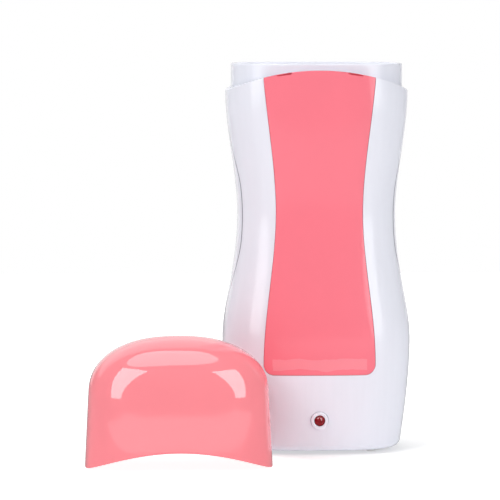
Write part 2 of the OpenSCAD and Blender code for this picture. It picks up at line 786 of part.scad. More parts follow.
module thermostat() {
    color([0.2, 0.2, 0.22])
        block([-stat_w / 2, plate_back, stat_z], [stat_w / 2, plate_back + stat_t, stat_z + stat_h]);
    color(brass)
        for (s = [-1, 1])
            block([s * tab_x - 2.2, tab_y - tab_half_t, stat_tab_z],
                  [s * tab_x + 2.2, tab_y + tab_half_t, stat_tab_top]);
}

module thermal_fuse() {
    color([0.9, 0.88, 0.8])
        translate([-fuse_half, fuse_y, fuse_z]) rotate([0, 90, 0])
            cylinder(h = 2 * fuse_half, r = fuse_r);
    color(steel)
        translate([-tab_x, fuse_y, fuse_z]) rotate([0, 90, 0])
            cylinder(h = 2 * tab_x, r = fuse_lead_r);
}

/* Power inlet */

module power_inlet() {
    color([0.12, 0.12, 0.13]) difference() {
        union() {
            block([-inlet_half_w, inlet_back, inlet_z - inlet_half_h],
                  [inlet_half_w, inlet_out, inlet_z + inlet_half_h]);
            block([-flange_half_w + flange_trim, flange_y - flange_t,
                   inlet_z - flange_half_h + flange_trim],
                  [flange_half_w - flange_trim, flange_y, inlet_z + flange_half_h - flange_trim]);
        }
        for (s = [-1, 1]) {
            rod_y(s * socket_x, inlet_z, socket_r, inlet_out - socket_depth, inlet_out + past);
            rod_y(s * pin_pitch / 2, inlet_z, tag_r + seat_gap, inlet_back - past, inlet_out);
            rod_y(s * inlet_screw_x, inlet_z, small_r + hole_gap,
                  flange_y - flange_t - past, flange_y + past);
        }
        block([-socket_x, inlet_out - socket_depth, inlet_z - socket_flat],
              [socket_x, inlet_out + past, inlet_z + socket_flat]);
    }
}

module inlet_pins() {
    color(brass)
        for (s = [-1, 1]) {
            rod_y(s * pin_pitch / 2, inlet_z, pin_r, inlet_out - socket_depth, inlet_out - pin_short);
            translate([s * pin_pitch / 2, inlet_out - pin_short, inlet_z]) sphere(r = pin_r);
            rod_y(s * pin_pitch / 2, inlet_z, tag_r, tag_end, inlet_out - socket_depth + hole_gap);
        }
}

module inlet_screws() {
    color(steel)
        for (s = [-1, 1])
            small_screw(s * inlet_screw_x, flange_y - flange_t, inlet_z, flange_t + small_grip, 90);
}

/* Wires */

// Each mains wire leaves its pin, rises in front of the inlet and passes under the well
riser_y = tag_end - 2.6;
under_z = well_floor_z - well_wall - 5;
splice_z = inlet_z + 6;
splice_h = 7;
splice_r = 1.75;
live_x = tab_x + 1.5;
neutral_x = tab_x + 6;
behind_y = well_back + wire_r + 1.4;

module live_wire() {
    x = -pin_pitch / 2;
    color([0.45, 0.25, 0.12])
        wire([[x, tag_end, inlet_z], [x, riser_y, inlet_z], [x, riser_y, under_z - 4],
              [-live_x, behind_y, under_z + 1], [-live_x, fuse_y, fuse_z],
              [-tab_x, fuse_y, fuse_z]], wire_r);
}

module neutral_wire() {
    x = pin_pitch / 2;
    color([0.2, 0.35, 0.7])
        wire([[x, tag_end, inlet_z], [x, riser_y, inlet_z], [x, riser_y, under_z - 4],
              [neutral_x, behind_y, under_z + 1], [neutral_x, behind_y, stat_z + stat_h - 1.5],
              [tab_x, tab_y, element_tab_z - wire_r], [tab_x, tab_y, element_tab_z]], wire_r);
}

module fuse_wire() {
    color([0.45, 0.25, 0.12])
        wire([[tab_x, fuse_y, fuse_z], [live_x, fuse_y, fuse_z],
              [tab_x, tab_y, stat_z], [tab_x, tab_y, stat_tab_z]], wire_r);
}

module element_wire() {
    color([0.45, 0.25, 0.12])
        wire([[-tab_x, tab_y, stat_tab_top], [-tab_x, tab_y, element_tab_z]], wire_r);
}

module lamp_wires() {
    color([0.85, 0.15, 0.15])
        for (s = [-1, 1])
            wire([[s * lamp_wire_x, board_y + board_t, lamp_z],
                  [s * lamp_wire_x, board_y + board_t + lamp_wire_reach, lamp_z],
                  [s * pin_pitch / 2, riser_y - splice_r - lamp_wire_reach, splice_z + splice_h / 2],
                  [s * pin_pitch / 2, riser_y - splice_r, splice_z + splice_h / 2]], lamp_wire_r);
}

module wire_splices() {
    color([0.9, 0.9, 0.85])
        for (s = [-1, 1])
            translate([s * pin_pitch / 2, riser_y, splice_z]) difference() {
                cylinder(h = splice_h, r = splice_r);
                translate([0, 0, -past]) cylinder(h = splice_h + 2 * past, r = wire_r + seat_gap);
            }
}

/* Screws */

module case_screws() {
    color(steel)
        for (s = [-1, 1], p = case_screw_places) {
            rod_y(s * p[0], p[1], screw_head_r, screw_seat_y, screw_seat_y + screw_head_t);
            rod_y(s * p[0], p[1], screw_r, screw_seat_y - screw_len, screw_seat_y);
        }
}

module base_screws() {
    seat = foot_h + base_screw_head_t + hole_gap;
    color(steel)
        for (x = [-base_screw_x, base_screw_x], y = [-base_screw_y, base_screw_y]) {
            translate([x, y, seat - base_screw_head_t])
                cylinder(h = base_screw_head_t, r = base_screw_head_r);
            translate([x, y, seat]) cylinder(h = base_screw_len, r = screw_r);
        }
}

/* Cap */

// One point of the cap's skin: k turns the ring, and row counts up to the dome's top
cap_side_rows = 6;
cap_dome_angles = [12, 24, 36, 48, 60, 70, 79, 85.5];
function cap_ring(i, k, inset, top) =
    let (i2 = i - cap_side_rows,
         lift = i2 <= 0 ? 0 : pow(sin(cap_dome_angles[i2 - 1]), 2 / cap_dome_power),
         shrink = i2 <= 0 ? 1 : pow(cos(cap_dome_angles[i2 - 1]), 2 / cap_dome_power),
         h0 = i2 <= 0 ? 0 : cap_dome_z + (cap_h - top - cap_dome_z) * lift,
         a0 = shoulder_w / 2 - inset,
         x0 = oval_point(a0, 1, k)[0],
         h = i2 > 0 ? h0 : mix(cap_edge(x0), cap_dome_z, i / cap_side_rows),
         p = oval_point((a0 - cap_draft_at(h)) * shrink,
                        (shoulder_d / 2 - inset - cap_draft_at(h)) * shrink, k))
    [p[0], p[1], h];

module cap() {
    n = oval_cols;
    rows = cap_side_rows + len(cap_dome_angles);
    half = (rows + 1) * n + 1;
    points = concat([for (i = [0:rows], k = [0:n - 1]) cap_ring(i, turn(k, n), 0, 0)],
                    [[0, 0, cap_h]],
                    [for (i = [0:rows], k = [0:n - 1]) cap_ring(i, turn(k, n), cap_wall, cap_top_wall)],
                    [[0, 0, cap_h - cap_top_wall]]);
    walls = [for (i = [0:rows - 1], k = [0:n - 1])
        let (p = i * n + k, q = i * n + (k + 1) % n)
        each [[p, p + n, q + n], [p, q + n, q],
              [half + p, half + q + n, half + p + n], [half + p, half + q, half + q + n]]];
    crown = [for (k = [0:n - 1])
        let (p = rows * n + k, q = rows * n + (k + 1) % n)
        each [[p, half - 1, q], [half + p, half + q, 2 * half - 1]]];
    edge = [for (k = [0:n - 1])
        let (q = (k + 1) % n)
        each [[k, q, half + q], [k, half + q, half + k]]];
    rib_x = 13;
    rib_gap = 0.25;
    rib_lift = 1;
    rib_h = 11;
    rib_in = edge_y(collar_w / 2, collar_d / 2, rib_x) + rib_gap;
    rib_inset = cap_wall + cap_draft / 2;
    rib_out = edge_y(shoulder_w / 2 - rib_inset, shoulder_d / 2 - rib_inset, rib_x) + cap_wall / 2;
    color(pink) translate([-cap_left, -cap_front, 0]) {
        polyhedron(points, concat(walls, crown, edge));
        for (s = [-1, 1], t = [-1, 1])
            block([s * rib_x - rib_w / 2, t > 0 ? rib_in : -rib_out, cap_edge(rib_x) + rib_lift],
                  [s * rib_x + rib_w / 2, t > 0 ? rib_out : -rib_in, cap_edge(rib_x) + rib_lift + rib_h]);
    }
}

front_shell();
rear_shell();
front_panel();
cartridge_well();
base_plate();
feet();
lamp_bezel();
pilot_lamp();
lamp_leads();
lamp_board();
lamp_resistor();
lamp_diode();
board_screws();
heat_plate();
insulation_sheet();
heater_element();
heater_clip();
clip_screws();
thermostat();
thermal_fuse();
power_inlet();
inlet_pins();
inlet_screws();
live_wire();
neutral_wire();
fuse_wire();
element_wire();
lamp_wires();
wire_splices();
case_screws();
base_screws();
cap();
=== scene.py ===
"""Looks of a warmer for oval wax cartridges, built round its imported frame, in metres."""

import math
from contextlib import contextmanager
from functools import cache

import bmesh
import bpy
import numpy as np
from bpy.props import FloatProperty, FloatVectorProperty, PointerProperty
from mathutils import Matrix, Vector


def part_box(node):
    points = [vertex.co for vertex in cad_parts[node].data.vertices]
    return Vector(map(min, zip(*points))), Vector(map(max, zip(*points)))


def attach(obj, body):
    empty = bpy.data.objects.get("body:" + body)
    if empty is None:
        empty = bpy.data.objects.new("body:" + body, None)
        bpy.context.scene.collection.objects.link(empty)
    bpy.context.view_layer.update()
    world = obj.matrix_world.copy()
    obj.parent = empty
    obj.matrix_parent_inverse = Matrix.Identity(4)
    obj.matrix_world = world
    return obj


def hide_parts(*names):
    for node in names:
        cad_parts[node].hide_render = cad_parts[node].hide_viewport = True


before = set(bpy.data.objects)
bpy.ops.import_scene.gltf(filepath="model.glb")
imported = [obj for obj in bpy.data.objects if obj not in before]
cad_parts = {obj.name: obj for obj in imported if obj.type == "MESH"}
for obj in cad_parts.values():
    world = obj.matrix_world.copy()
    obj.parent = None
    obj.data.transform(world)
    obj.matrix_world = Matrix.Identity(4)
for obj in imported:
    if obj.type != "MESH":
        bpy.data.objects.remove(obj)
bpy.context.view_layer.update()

bl_info = {
    "name": "Wax Warmer",
    "version": (1, 0, 0),
    "blender": (4, 5, 0),
    "location": "View3D > Sidebar > Wax Warmer",
    "description": "Builds the mouldings, lamp, heater and screws of a cartridge warmer, and a studio",
    "category": "Object",
}

# Distance at which doubled vertices merge, in a new mesh and in one that comes with the frame
WELD = 1e-6
FRAME_WELD = 1e-5
# Angle in radians above which an edge counts as sharp and can be rounded
SHARP = 0.7
# Angle up to which neighbouring faces are shaded as one, and the weight of large faces in their normals
SMOOTH_UP_TO = math.radians(40)
NORMAL_WEIGHT = 50
FULL_TURN = 2 * math.pi
HALF_TURN = math.pi
QUARTER = math.pi / 2


# Settings

def number(name, description, default, **limits):
    return FloatProperty(name=name, description=description, default=default, **limits)


def length(name, description, default):
    return number(name, description, default, min=0.0, precision=5, subtype="DISTANCE", unit="LENGTH")


def angle(name, description, degrees):
    return number(name, description, math.radians(degrees), subtype="ANGLE", unit="ROTATION")


def level(name, description, default):
    return number(name, description, default, min=0.0)


def colour(name, description, default):
    return FloatVectorProperty(name=name, description=description, default=default, min=0.0, max=1.0,
                               size=3, subtype="COLOR_GAMMA")


class HousingSizes(bpy.types.PropertyGroup):
    """Outline of the housing, from its base to its arched shoulder"""
    base_w: length("Base width", "Width across the sides at the bottom edge", 0.0706)
    bulge_w: length("Bulge width", "Width at the bulge above the base", 0.0796)
    waist_w: length("Waist width", "Width at the waist", 0.067)
    shoulder_w: length("Shoulder width", "Width at the shoulder", 0.0772)
    base_d: length("Base depth", "Depth from front to back at the bottom edge", 0.053)
    bulge_d: length("Bulge depth", "Depth at the bulge", 0.060)
    waist_d: length("Waist depth", "Depth at the waist", 0.052)
    shoulder_d: length("Shoulder depth", "Depth at the shoulder", 0.056)
    bulge_z: length("Bulge height", "Height of the widest place of the lower half", 0.0473)
    waist_z: length("Waist height", "Height of the narrowest place", 0.1003)
    shoulder_drop: length("Shoulder drop", "How far the shoulder starts below the sides' top edge", 0.0006)
    arch_r: length("Arch radius", "Radius of the arched top edge", 0.093)
    base_round: length("Base rounding", "Radius of the bottom edge", 0.003)
    side_wall: length("Side wall", "Wall thickness at the sides", 0.0022)
    face_wall: length("Face wall", "Wall thickness at the front and the back", 0.00305)
    seam_gap: length("Seam gap", "Width of the gap between the two halves", 0.0003)
    seam_sweep: length("Seam sweep", "How far the side seam swings forward at the waist", 0.0135)
    # Painted shadow: width of the dark line painted in the base colour along the gap between the halves
    seam_line: length("Seam line", "Width of the dark line that the gap shows", 0.0011)
    arch_lift: length("Arch lift", "How far the shoulder's edge is raised", 0.0005)
    edge_round: length("Edge rounding", "Rounding of the edge round the recess", 0.0005)
    top_round: length("Top rounding", "Rounding of the arched top edge", 0.0010)
    seam_round: length("Seam rounding", "Rounding of the edges along the seam", 0.0002)
    squareness: number("Squareness", "Power of the oval sections, where 2 is an ellipse", 3.0,
                       min=2.0, max=5.0)


class PanelSizes(bpy.types.PropertyGroup):
    """Front panel and the recess that it lies in"""
    thickness: length("Thickness", "Thickness of the panel", 0.0016)
    top_w: length("Top width", "Width at the top edge", 0.0468)
    waist_w: length("Waist width", "Width at the waist", 0.0364)
    low_w: length("Low width", "Width above the lower corners", 0.0469)
    low_z: length("Low edge", "Height of the lower edge", 0.0340)
    corner_r: length("Corner radius", "Radius of the lower corners", 0.0044)
    gap: length("Gap", "Gap between the panel and the shell round it", 0.0001)
    edge_round: length("Edge rounding", "Rounding of the panel's edge", 0.00028)
    waist_lift: length("Waist lift", "How far the panel's waist lies above the housing's", 0.0017)
    top_drop: length("Top drop", "How far below the arch the sides run straight", 0.004)
    hook_x: length("Hook place", "Distance of each hook slot from the middle", 0.015)
    hook_w: length("Hook width", "Width of a hook slot", 0.0062)
    hook_slot: length("Hook slot", "Height of a hook slot", 0.0007)
    hook_edge: length("Hook edge", "How far a hook slot lies under the panel's top edge", 0.00012)
    hook_web: length("Hook web", "Thickness of the panel left behind a hook slot", 0.0003)


class WellSizes(bpy.types.PropertyGroup):
    """Collar and pocket that hold the cartridge"""
    pocket_w: length("Pocket width", "Width of the pocket", 0.054)
    pocket_d: length("Pocket depth", "Depth of the pocket from front to back", 0.035)
    pocket_z: length("Pocket floor", "Height of the pocket's floor", 0.046)
    pocket_wall: length("Pocket wall", "Wall thickness of the sleeve round the pocket", 0.0015)
    collar_wall: length("Collar wall", "Wall thickness of the collar", 0.002)
    dish_depth: length("Dish depth", "Depth of the dish in the collar", 0.005)
    dish_t: length("Dish floor", "Thickness of the dish's floor", 0.002)
    rim_round: length("Rim rounding", "Radius of the rim's edges", 0.00095)


class CapSizes(bpy.types.PropertyGroup):
    """Domed cap"""
    dome_z: length("Dome start", "Height at which the sides turn into the dome", 0.031)
    dome_power: number("Dome power", "Power of the dome's profile, where 2 is an ellipse", 2.25,
                       min=2.0, max=4.0)
    draft: length("Draft", "How far each side leans in up to the dome", 0.00155)
    wall: length("Wall", "Wall thickness", 0.0015)
    crown_wall: length("Crown wall", "Wall thickness at the top", 0.002)
    rib_w: length("Rib width", "Width of the ribs inside", 0.0012)
    rib_x: length("Rib place", "Distance of each rib from the middle", 0.013)
    rib_h: length("Rib height", "Height of the ribs", 0.011)
    rib_lift: length("Rib lift", "How far the ribs start above the mouth", 0.001)
    rib_gap: length("Rib gap", "Gap between the ribs and the collar", 0.00025)
    edge_round: length("Edge rounding", "Rounding of the mouth's edges", 0.0004)


class LampSizes(bpy.types.PropertyGroup):
    """Pilot lamp and its ring"""
    lamp_r: length("Lamp radius", "Radius of the lamp's dome", 0.0025)
    bezel_r: length("Ring radius", "Outer radius of the ring", 0.0037)
    bezel_round: length("Ring rounding", "Rounding of the ring's outer edge", 0.0006)


class FixingSizes(bpy.types.PropertyGroup):
    """Posts, ears, pegs and hooks that hold the pieces together"""
    post_r: length("Post radius", "Radius of the rear half's screw posts and of the well's ears", 0.003)
    front_post_r: length("Front post radius", "Radius of the front half's screw posts", 0.0026)
    board_post_r: length("Board post radius", "Radius of the posts for the lamp's board", 0.0023)
    base_post_r: length("Base post radius", "Radius of the posts for the base screws", 0.0028)
    base_post_h: length("Base post height", "Height of the posts for the base screws", 0.011)
    boss_r: length("Boss radius", "Radius of the bosses for the heater's clip", 0.0022)
    boss_sink: length("Boss depth", "How far a boss starts in front of the sleeve's outside", 0.0045)
    web_t: length("Web", "Thickness of the webs beside the base posts", 0.002)
    ear_t: length("Ear", "Thickness of the well's ears", 0.002)
    sink: length("Sink", "How far a post ends under the outside of its wall", 0.0004)
    clear: length("Clearance", "Gap between pieces that meet", 0.00005)
    tip_gap: length("Tip gap", "Depth of a screw hole past the screw's tip", 0.0006)
    peg_x: length("Peg place", "Distance of each panel peg from the middle", 0.011)
    peg_r: length("Peg radius", "Radius of the panel's pegs", 0.0012)
    low_peg_lift: length("Low peg lift", "Height of the lower pegs above the panel's lower edge", 0.009)
    high_peg_lift: length("High peg lift", "Height of the upper pegs above the waist", 0.004)
    hook_t: length("Hook", "Thickness of the panel's hooks", 0.0012)
    hook_drop: length("Hook drop", "How far the hooks lie under the arched edge", 0.0012)
    pad_w: length("Pad width", "Width of the pad that the inlet is screwed to", 0.032)
    pad_h: length("Pad height", "Height of the pad that the inlet is screwed to", 0.0156)


class FinishColours(bpy.types.PropertyGroup):
    """Colours as they look on screen"""
    white: colour("White", "Housing, collar and lamp ring", (0.915, 0.921, 0.959))
    panel: colour("Panel", "Front panel", (0.98, 0.5, 0.558))
    # The cap's pink is paler than the panel's, though both are one pink: painted brightness that stands in
    # for the cap's stronger reflections
    cap: colour("Cap", "Cap", (0.99, 0.555, 0.59))
    lamp: colour("Lamp", "Pilot lamp", (0.53, 0.03, 0.09))
    gloss: number("Roughness", "Roughness of the polished mouldings", 0.09,
                  min=0.0, max=1.0, subtype="FACTOR")


class StageSizes(bpy.types.PropertyGroup):
    """Camera, table and lights"""
    focal: number("Focal length", "Focal length on a 36 mm wide sensor", 236.95,
                  min=20.0, subtype="DISTANCE_CAMERA", unit="CAMERA")
    camera_z: length("Camera height", "Height of the camera above the table", 0.190)
    camera_distance: length("Camera distance", "Distance of the camera in plan", 1.400)
    camera_aside: number("Camera aside", "How far the view's middle passes beside the object", -0.0281,
                         subtype="DISTANCE", unit="LENGTH")
    camera_tilt: angle("Tilt", "How far the camera looks down", 4.3095)
    camera_yaw: angle("Yaw", "How far the camera looks to the right of straight ahead", 2.28)
    table_front: length("Table front", "How far the table reaches towards the camera", 1.0)
    table_back: length("Table back", "How far the table reaches behind the object", 0.9)
    table_side: length("Table side", "How far the table reaches to each side", 0.65)
    table_lift: level("Table lift", "Whiteness of the table to the camera, from the light on it", 0.62)
    glow: level("Glow", "White that the table shows the camera even in the shade", 0.6)
    contact: level("Contact shadow", "How much the table darkens close to the object", 0.22)
    uplight: level("Uplight", "Light that comes through the table onto the object", 0.3)
    table_bright: level("Bright edge", "Brightness of the table's front in reflections", 1.6)
    table_dim: level("Table round the object", "Brightness of the rest of it in reflections", 0.35)
    room: level("Room", "Light from the room beside the object", 0.44)
    wall: level("Wall", "Light from the wall behind the object", 1.0)
    dim: level("Dim", "Brightness of the room in reflections", 0.25)
    backdrop: level("Backdrop", "Brightness of the backdrop in reflections", 1.25)
    horizon: level("Horizon", "Brightness of the backdrop low down, in reflections", 0.85)


GROUPS = {
    "warmer_housing": HousingSizes,
    "warmer_panel": PanelSizes,
    "warmer_well": WellSizes,
    "warmer_cap": CapSizes,
    "warmer_lamp": LampSizes,
    "warmer_fixings": FixingSizes,
    "warmer_finish": FinishColours,
    "warmer_stage": StageSizes,
}


# Modelling by operators

def alone(piece=None):
    """Deselects everything, then selects and activates one piece."""
    bpy.ops.object.select_all(action="DESELECT")
    if piece is not None:
        piece.select_set(True)
        bpy.context.view_layer.objects.active = piece


@contextmanager
def editing(piece):
    """Edit mode on one piece, with everything in it selected."""
    alone(piece)
    bpy.ops.object.mode_set(mode="EDIT")
    bpy.ops.mesh.select_mode(type="VERT")
    bpy.ops.mesh.select_all(action="SELECT")
    yield
    bpy.ops.object.mode_set(mode="OBJECT")


def sheet(name, rows, cols, place):
    """A grid of faces. place(row, col) gives the outer and the inner point of each of its vertices."""
    alone()
    bpy.ops.mesh.primitive_grid_add(x_subdivisions=cols, y_subdivisions=rows, size=1)
    piece = bpy.context.object
    piece.name = name
    points = [place(row, col) for row in range(rows + 1) for col in range(cols + 1)]
    piece.data.vertices.foreach_set("co", np.ravel([p[0] for p in points]))
    inner = piece.data.attributes.new("inner", "FLOAT_VECTOR", "POINT")
    inner.data.foreach_set("vector", np.ravel([p[1] for p in points]))
    piece.data.update()
    return piece


def joined(name, pieces):
    """One piece from several."""
    alone(pieces[0])
    for piece in pieces:
        piece.select_set(True)
    bpy.ops.object.join()
    pieces[0].name = name
    return pieces[0]


def weld():
    """Merges doubled vertices of the mesh in edit mode and turns its faces outwards."""
    bpy.ops.mesh.select_all(action="SELECT")
    bpy.ops.mesh.remove_doubles(threshold=WELD)
    bpy.ops.mesh.normals_make_consistent(inside=False)


def walled(piece):
    """Closes an open sheet into a wall between its outer and its inner points."""
    with editing(piece):
        bpy.ops.mesh.remove_doubles(threshold=WELD)
        bpy.ops.mesh.extrude_region_move()
        mesh = bmesh.from_edit_mesh(piece.data)
        inner = mesh.verts.layers.float_vector["inner"]
        for vertex in mesh.verts:
            if vertex.select:
                vertex.co = vertex[inner]
        bmesh.update_edit_mesh(piece.data)
        weld()
    return piece


def rounded(piece, width, segments, chosen):
    """Bevels the sharp outer edges that chosen(edge, middle) picks."""
    with editing(piece):
        bpy.ops.mesh.select_all(action="DESELECT")
        bpy.ops.mesh.select_mode(type="EDGE")
        mesh = bmesh.from_edit_mesh(piece.data)
        for edge in mesh.edges:
            if len(edge.link_faces) == 2 and edge.is_convex and edge.calc_face_angle(0) > SHARP:
                middle = (edge.verts[0].co + edge.verts[1].co) / 2
                edge.select_set(bool(chosen(edge, middle)))
        bmesh.update_edit_mesh(piece.data)
        bpy.ops.mesh.bevel(offset=width, segments=segments, profile=0.5, affect="EDGES", clamp_overlap=True)
    return piece


def modified(piece, kind, **settings):
    """Adds a modifier with these settings and applies it."""
    alone(piece)
    modifier = piece.modifiers.new(kind.title(), kind)
    for key, value in settings.items():
        setattr(modifier, key, value)
    bpy.ops.object.modifier_apply(modifier=modifier.name)
    return piece


def cut(piece, cutter, operation="DIFFERENCE"):
    """Cuts a closed piece out of another, or with UNION fuses it on, and deletes it."""
    modified(piece, "BOOLEAN", object=cutter, operation=operation, solver="EXACT")
    bpy.data.objects.remove(cutter)
    return piece


def fused(piece, solids):
    """Fuses solids that are clear of each other onto a piece, in one go."""
    return cut(piece, joined("solids", solids), "UNION")


def drilled(piece, solids):
    """Cuts solids that are clear of each other out of a piece, in one go."""
    return cut(piece, joined("solids", solids))


def smooth(piece):
    """Smooth shading that stops at sharp edges, with normals that follow the large faces."""
    alone(piece)
    bpy.ops.object.shade_smooth_by_angle(angle=SMOOTH_UP_TO)
    modified(piece, "WEIGHTED_NORMAL", keep_sharp=True, weight=NORMAL_WEIGHT)
    return piece


def turned(name, profile, sides):
    """A solid of revolution round Z from a list of (radius, height), closed where the radius is 0."""
    def place(row, col):
        radius, height = profile[row]
        turn = FULL_TURN * col / sides
        point = (radius * math.cos(turn), radius * math.sin(turn), height)
        return point, point

    piece = sheet(name, len(profile) - 1, sides, place)
    with editing(piece):
        weld()
    return piece


def slab(name, low, high):
    """A box between two corners."""
    alone()
    low, high = Vector(low), Vector(high)
    bpy.ops.mesh.primitive_cube_add(size=1, location=(low + high) / 2)
    piece = bpy.context.object
    piece.name = name
    piece.scale = high - low
    settle(piece)
    return piece


def cylinder(name, radius, height, sides):
    return turned(name, [(0, 0), (radius, 0), (radius, height), (0, height)], sides)


def rod(name, radius, centre, start, end, sides=48):
    """A cylinder along Y through a point, between two depths."""
    along_y = Matrix.Rotation(-QUARTER, 4, "X")
    return moved(cylinder(name, radius, end - start, sides),
                 Matrix.Translation((centre.x, start, centre.z)) @ along_y)


def pillar(name, radius, centre, low, high, sides=32):
    """A cylinder along Z through a point, between two heights."""
    return moved(cylinder(name, radius, high - low, sides), Matrix.Translation((centre.x, centre.y, low)))


def moved(piece, matrix):
    """Moves and turns a piece's mesh, so that its object stays at the origin."""
    piece.data.transform(matrix)
    if matrix.determinant() < 0:
        piece.data.flip_normals()
    return piece


def settle(piece):
    """Applies the place, turn and scale of a piece to its mesh."""
    alone(piece)
    bpy.ops.object.transform_apply(location=True, rotation=True, scale=True)
    return piece


def copies(piece, name, matrices):
    """One piece of several copies of a mesh, each with its own place. The first one goes."""
    made = []
    for matrix in matrices:
        copy = piece.copy()
        copy.data = piece.data.copy()
        bpy.context.scene.collection.objects.link(copy)
        made.append(moved(copy, matrix))
    bpy.data.objects.remove(piece)
    return joined(name, made)


def arc(centre, radius, start, end, steps):
    """Points (r, z) of an arc between two angles in degrees."""
    turns = [math.radians(start + (end - start) * i / steps) for i in range(steps + 1)]
    return [(centre[0] + radius * math.cos(turn), centre[1] + radius * math.sin(turn)) for turn in turns]


def filleted(corners, steps=5):
    """Points along a line of (x, y, z, radius) corners, each blended over its radius."""
    made = [Vector(corners[0][:3])]
    for before, here, after in zip(corners, corners[1:], corners[2:]):
        point = Vector(here[:3])
        towards = (Vector(before[:3]) - point).normalized()
        onwards = (Vector(after[:3]) - point).normalized()
        if here[3] == 0:
            made.append(point)
            continue
        for i in range(steps + 1):
            turn = QUARTER * i / steps
            made.append(point + here[3] * ((1 - math.sin(turn)) * towards + (1 - math.cos(turn)) * onwards))
    made.append(Vector(corners[-1][:3]))
    return made


@cache
def solids_of(node):
    """The middle, lowest corner and highest corner of each solid of a node."""
    mesh = bmesh.new()
    mesh.from_mesh(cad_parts[node].data)
    bmesh.ops.remove_doubles(mesh, verts=mesh.verts, dist=FRAME_WELD)
    solids, seen = [], set()
    for start in mesh.verts:
        if start in seen:
            continue
        points, todo = [], [start]
        seen.add(start)
        while todo:
            vertex = todo.pop()
            points.append(vertex.co.copy())
            for edge in vertex.link_edges:
                other = edge.other_vert(vertex)
                if other not in seen:
                    seen.add(other)
                    todo.append(other)
        low, high = Vector(np.min(points, 0)), Vector(np.max(points, 0))
        solids.append(((low + high) / 2, low, high))
    mesh.free()
    return solids


def softened(node, width):
    """A copy of a CAD node with its flat faces joined and its edges rounded."""
    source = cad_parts[node]
    piece = bpy.data.objects.new(node + "_piece", source.data.copy())
    bpy.context.scene.collection.objects.link(piece)
    piece.data.materials.clear()
    with editing(piece):
        bpy.ops.mesh.remove_doubles(threshold=FRAME_WELD)
        bpy.ops.mesh.dissolve_limited(angle_limit=math.radians(1))
    rounded(piece, width, 2, lambda edge, middle: True)
    return smooth(piece)


# Shapes of the housing

def mix(a, b, t):
    return a + (b - a) * t


def ease(t):
    c = min(1.0, max(0.0, t))
    return c * c * (3 - 2 * c)


def cubic_curve(stations, z):
    """Value at z of a smooth curve through stations of (height, value, slope)."""
    if z <= stations[0][0]:
        return stations[0][1] + (z - stations[0][0]) * stations[0][2]
    if z >= stations[-1][0]:
        return stations[-1][1]
    k = max(i for i, station in enumerate(stations[:-1]) if z >= station[0])
    (z0, p, m), (z1, q, n) = stations[k], stations[k + 1]
    span = z1 - z0
    t = (z - z0) / span
    return (p * (2 * t ** 3 - 3 * t ** 2 + 1) + q * (3 * t ** 2 - 2 * t ** 3)
            + span * (m * (t ** 3 - 2 * t ** 2 + t) + n * (t ** 3 - t ** 2)))


# Place of the hip between bulge and waist, its share of the way in, and how much steeper than straight the
# outline is there and at the base
HIP_SHARE = 0.355
HIP_FALL = 0.373
HIP_STEEPNESS = 1.6
BASE_STEEPNESS = 1.4
# Share of the way from the bulge, or from the shoulder, to the waist in which the seam swings forward
SWEEP_SHARE = 0.8


def outline_stations(base, bulge, waist, shoulder, bulge_z, waist_z, shoulder_z):
    """Half sizes of the housing at its base, bulge, hip, waist and shoulder."""
    return [
        (0.0, base / 2, BASE_STEEPNESS * (bulge - base) / 2 / bulge_z),
        (bulge_z, bulge / 2, 0.0),
        (mix(bulge_z, waist_z, HIP_SHARE), mix(bulge, waist, HIP_FALL) / 2,
         HIP_STEEPNESS * (waist - bulge) / 2 / (waist_z - bulge_z)),
        (waist_z, waist / 2, 0.0),
        (shoulder_z, shoulder / 2, 0.0),
    ]


def oval_angle_at_x(x, a, power):
    """Angle on the front of an oval of half width a at which it reaches x."""
    share_x = max(-1.0, min(1.0, x / a))
    return math.atan2(-(1 - abs(share_x) ** power) ** (1 / power), share_x)


def oval_angle_at_y(y, b, power):
    """Angle on the right half of an oval of half depth b at which it reaches y."""
    share_y = y / b
    return math.atan2(share_y, (1 - abs(share_y) ** power) ** (1 / power))


def oval_reach(x, a, b, power):
    """How far an oval of half sizes a and b reaches across a line that lies x from its middle."""
    return b * (1 - (abs(x) / a) ** power) ** (1 / power)


def oval_point(a, b, angle, power):
    c, s = math.cos(angle), math.sin(angle)
    k = (abs(c) ** power + abs(s) ** power) ** (-1 / power)
    return a * c * k, b * s * k


# Faces down the side of the panel, round its corner and along half of its lower edge
SIDE_STEPS = 76
CORNER_STEPS = 22
BOTTOM_STEPS = 16
FIELD_ROWS = SIDE_STEPS + CORNER_STEPS
# Of the corner's steps, those that the front half's border takes to come down to its skirt
BORDER_STEPS = CORNER_STEPS // 2 + 1
# Height at which the front half's border turns into its skirt, and of the skirt's next rows
SKIRT_ROWS = (0.010, 0.0085, 0.0065)
# Shares of the way from the recess to the border at which the front half has its rows of faces
BAND_SHARES = [0] + [0.05 + 0.95 * i / 16 for i in range(17)]


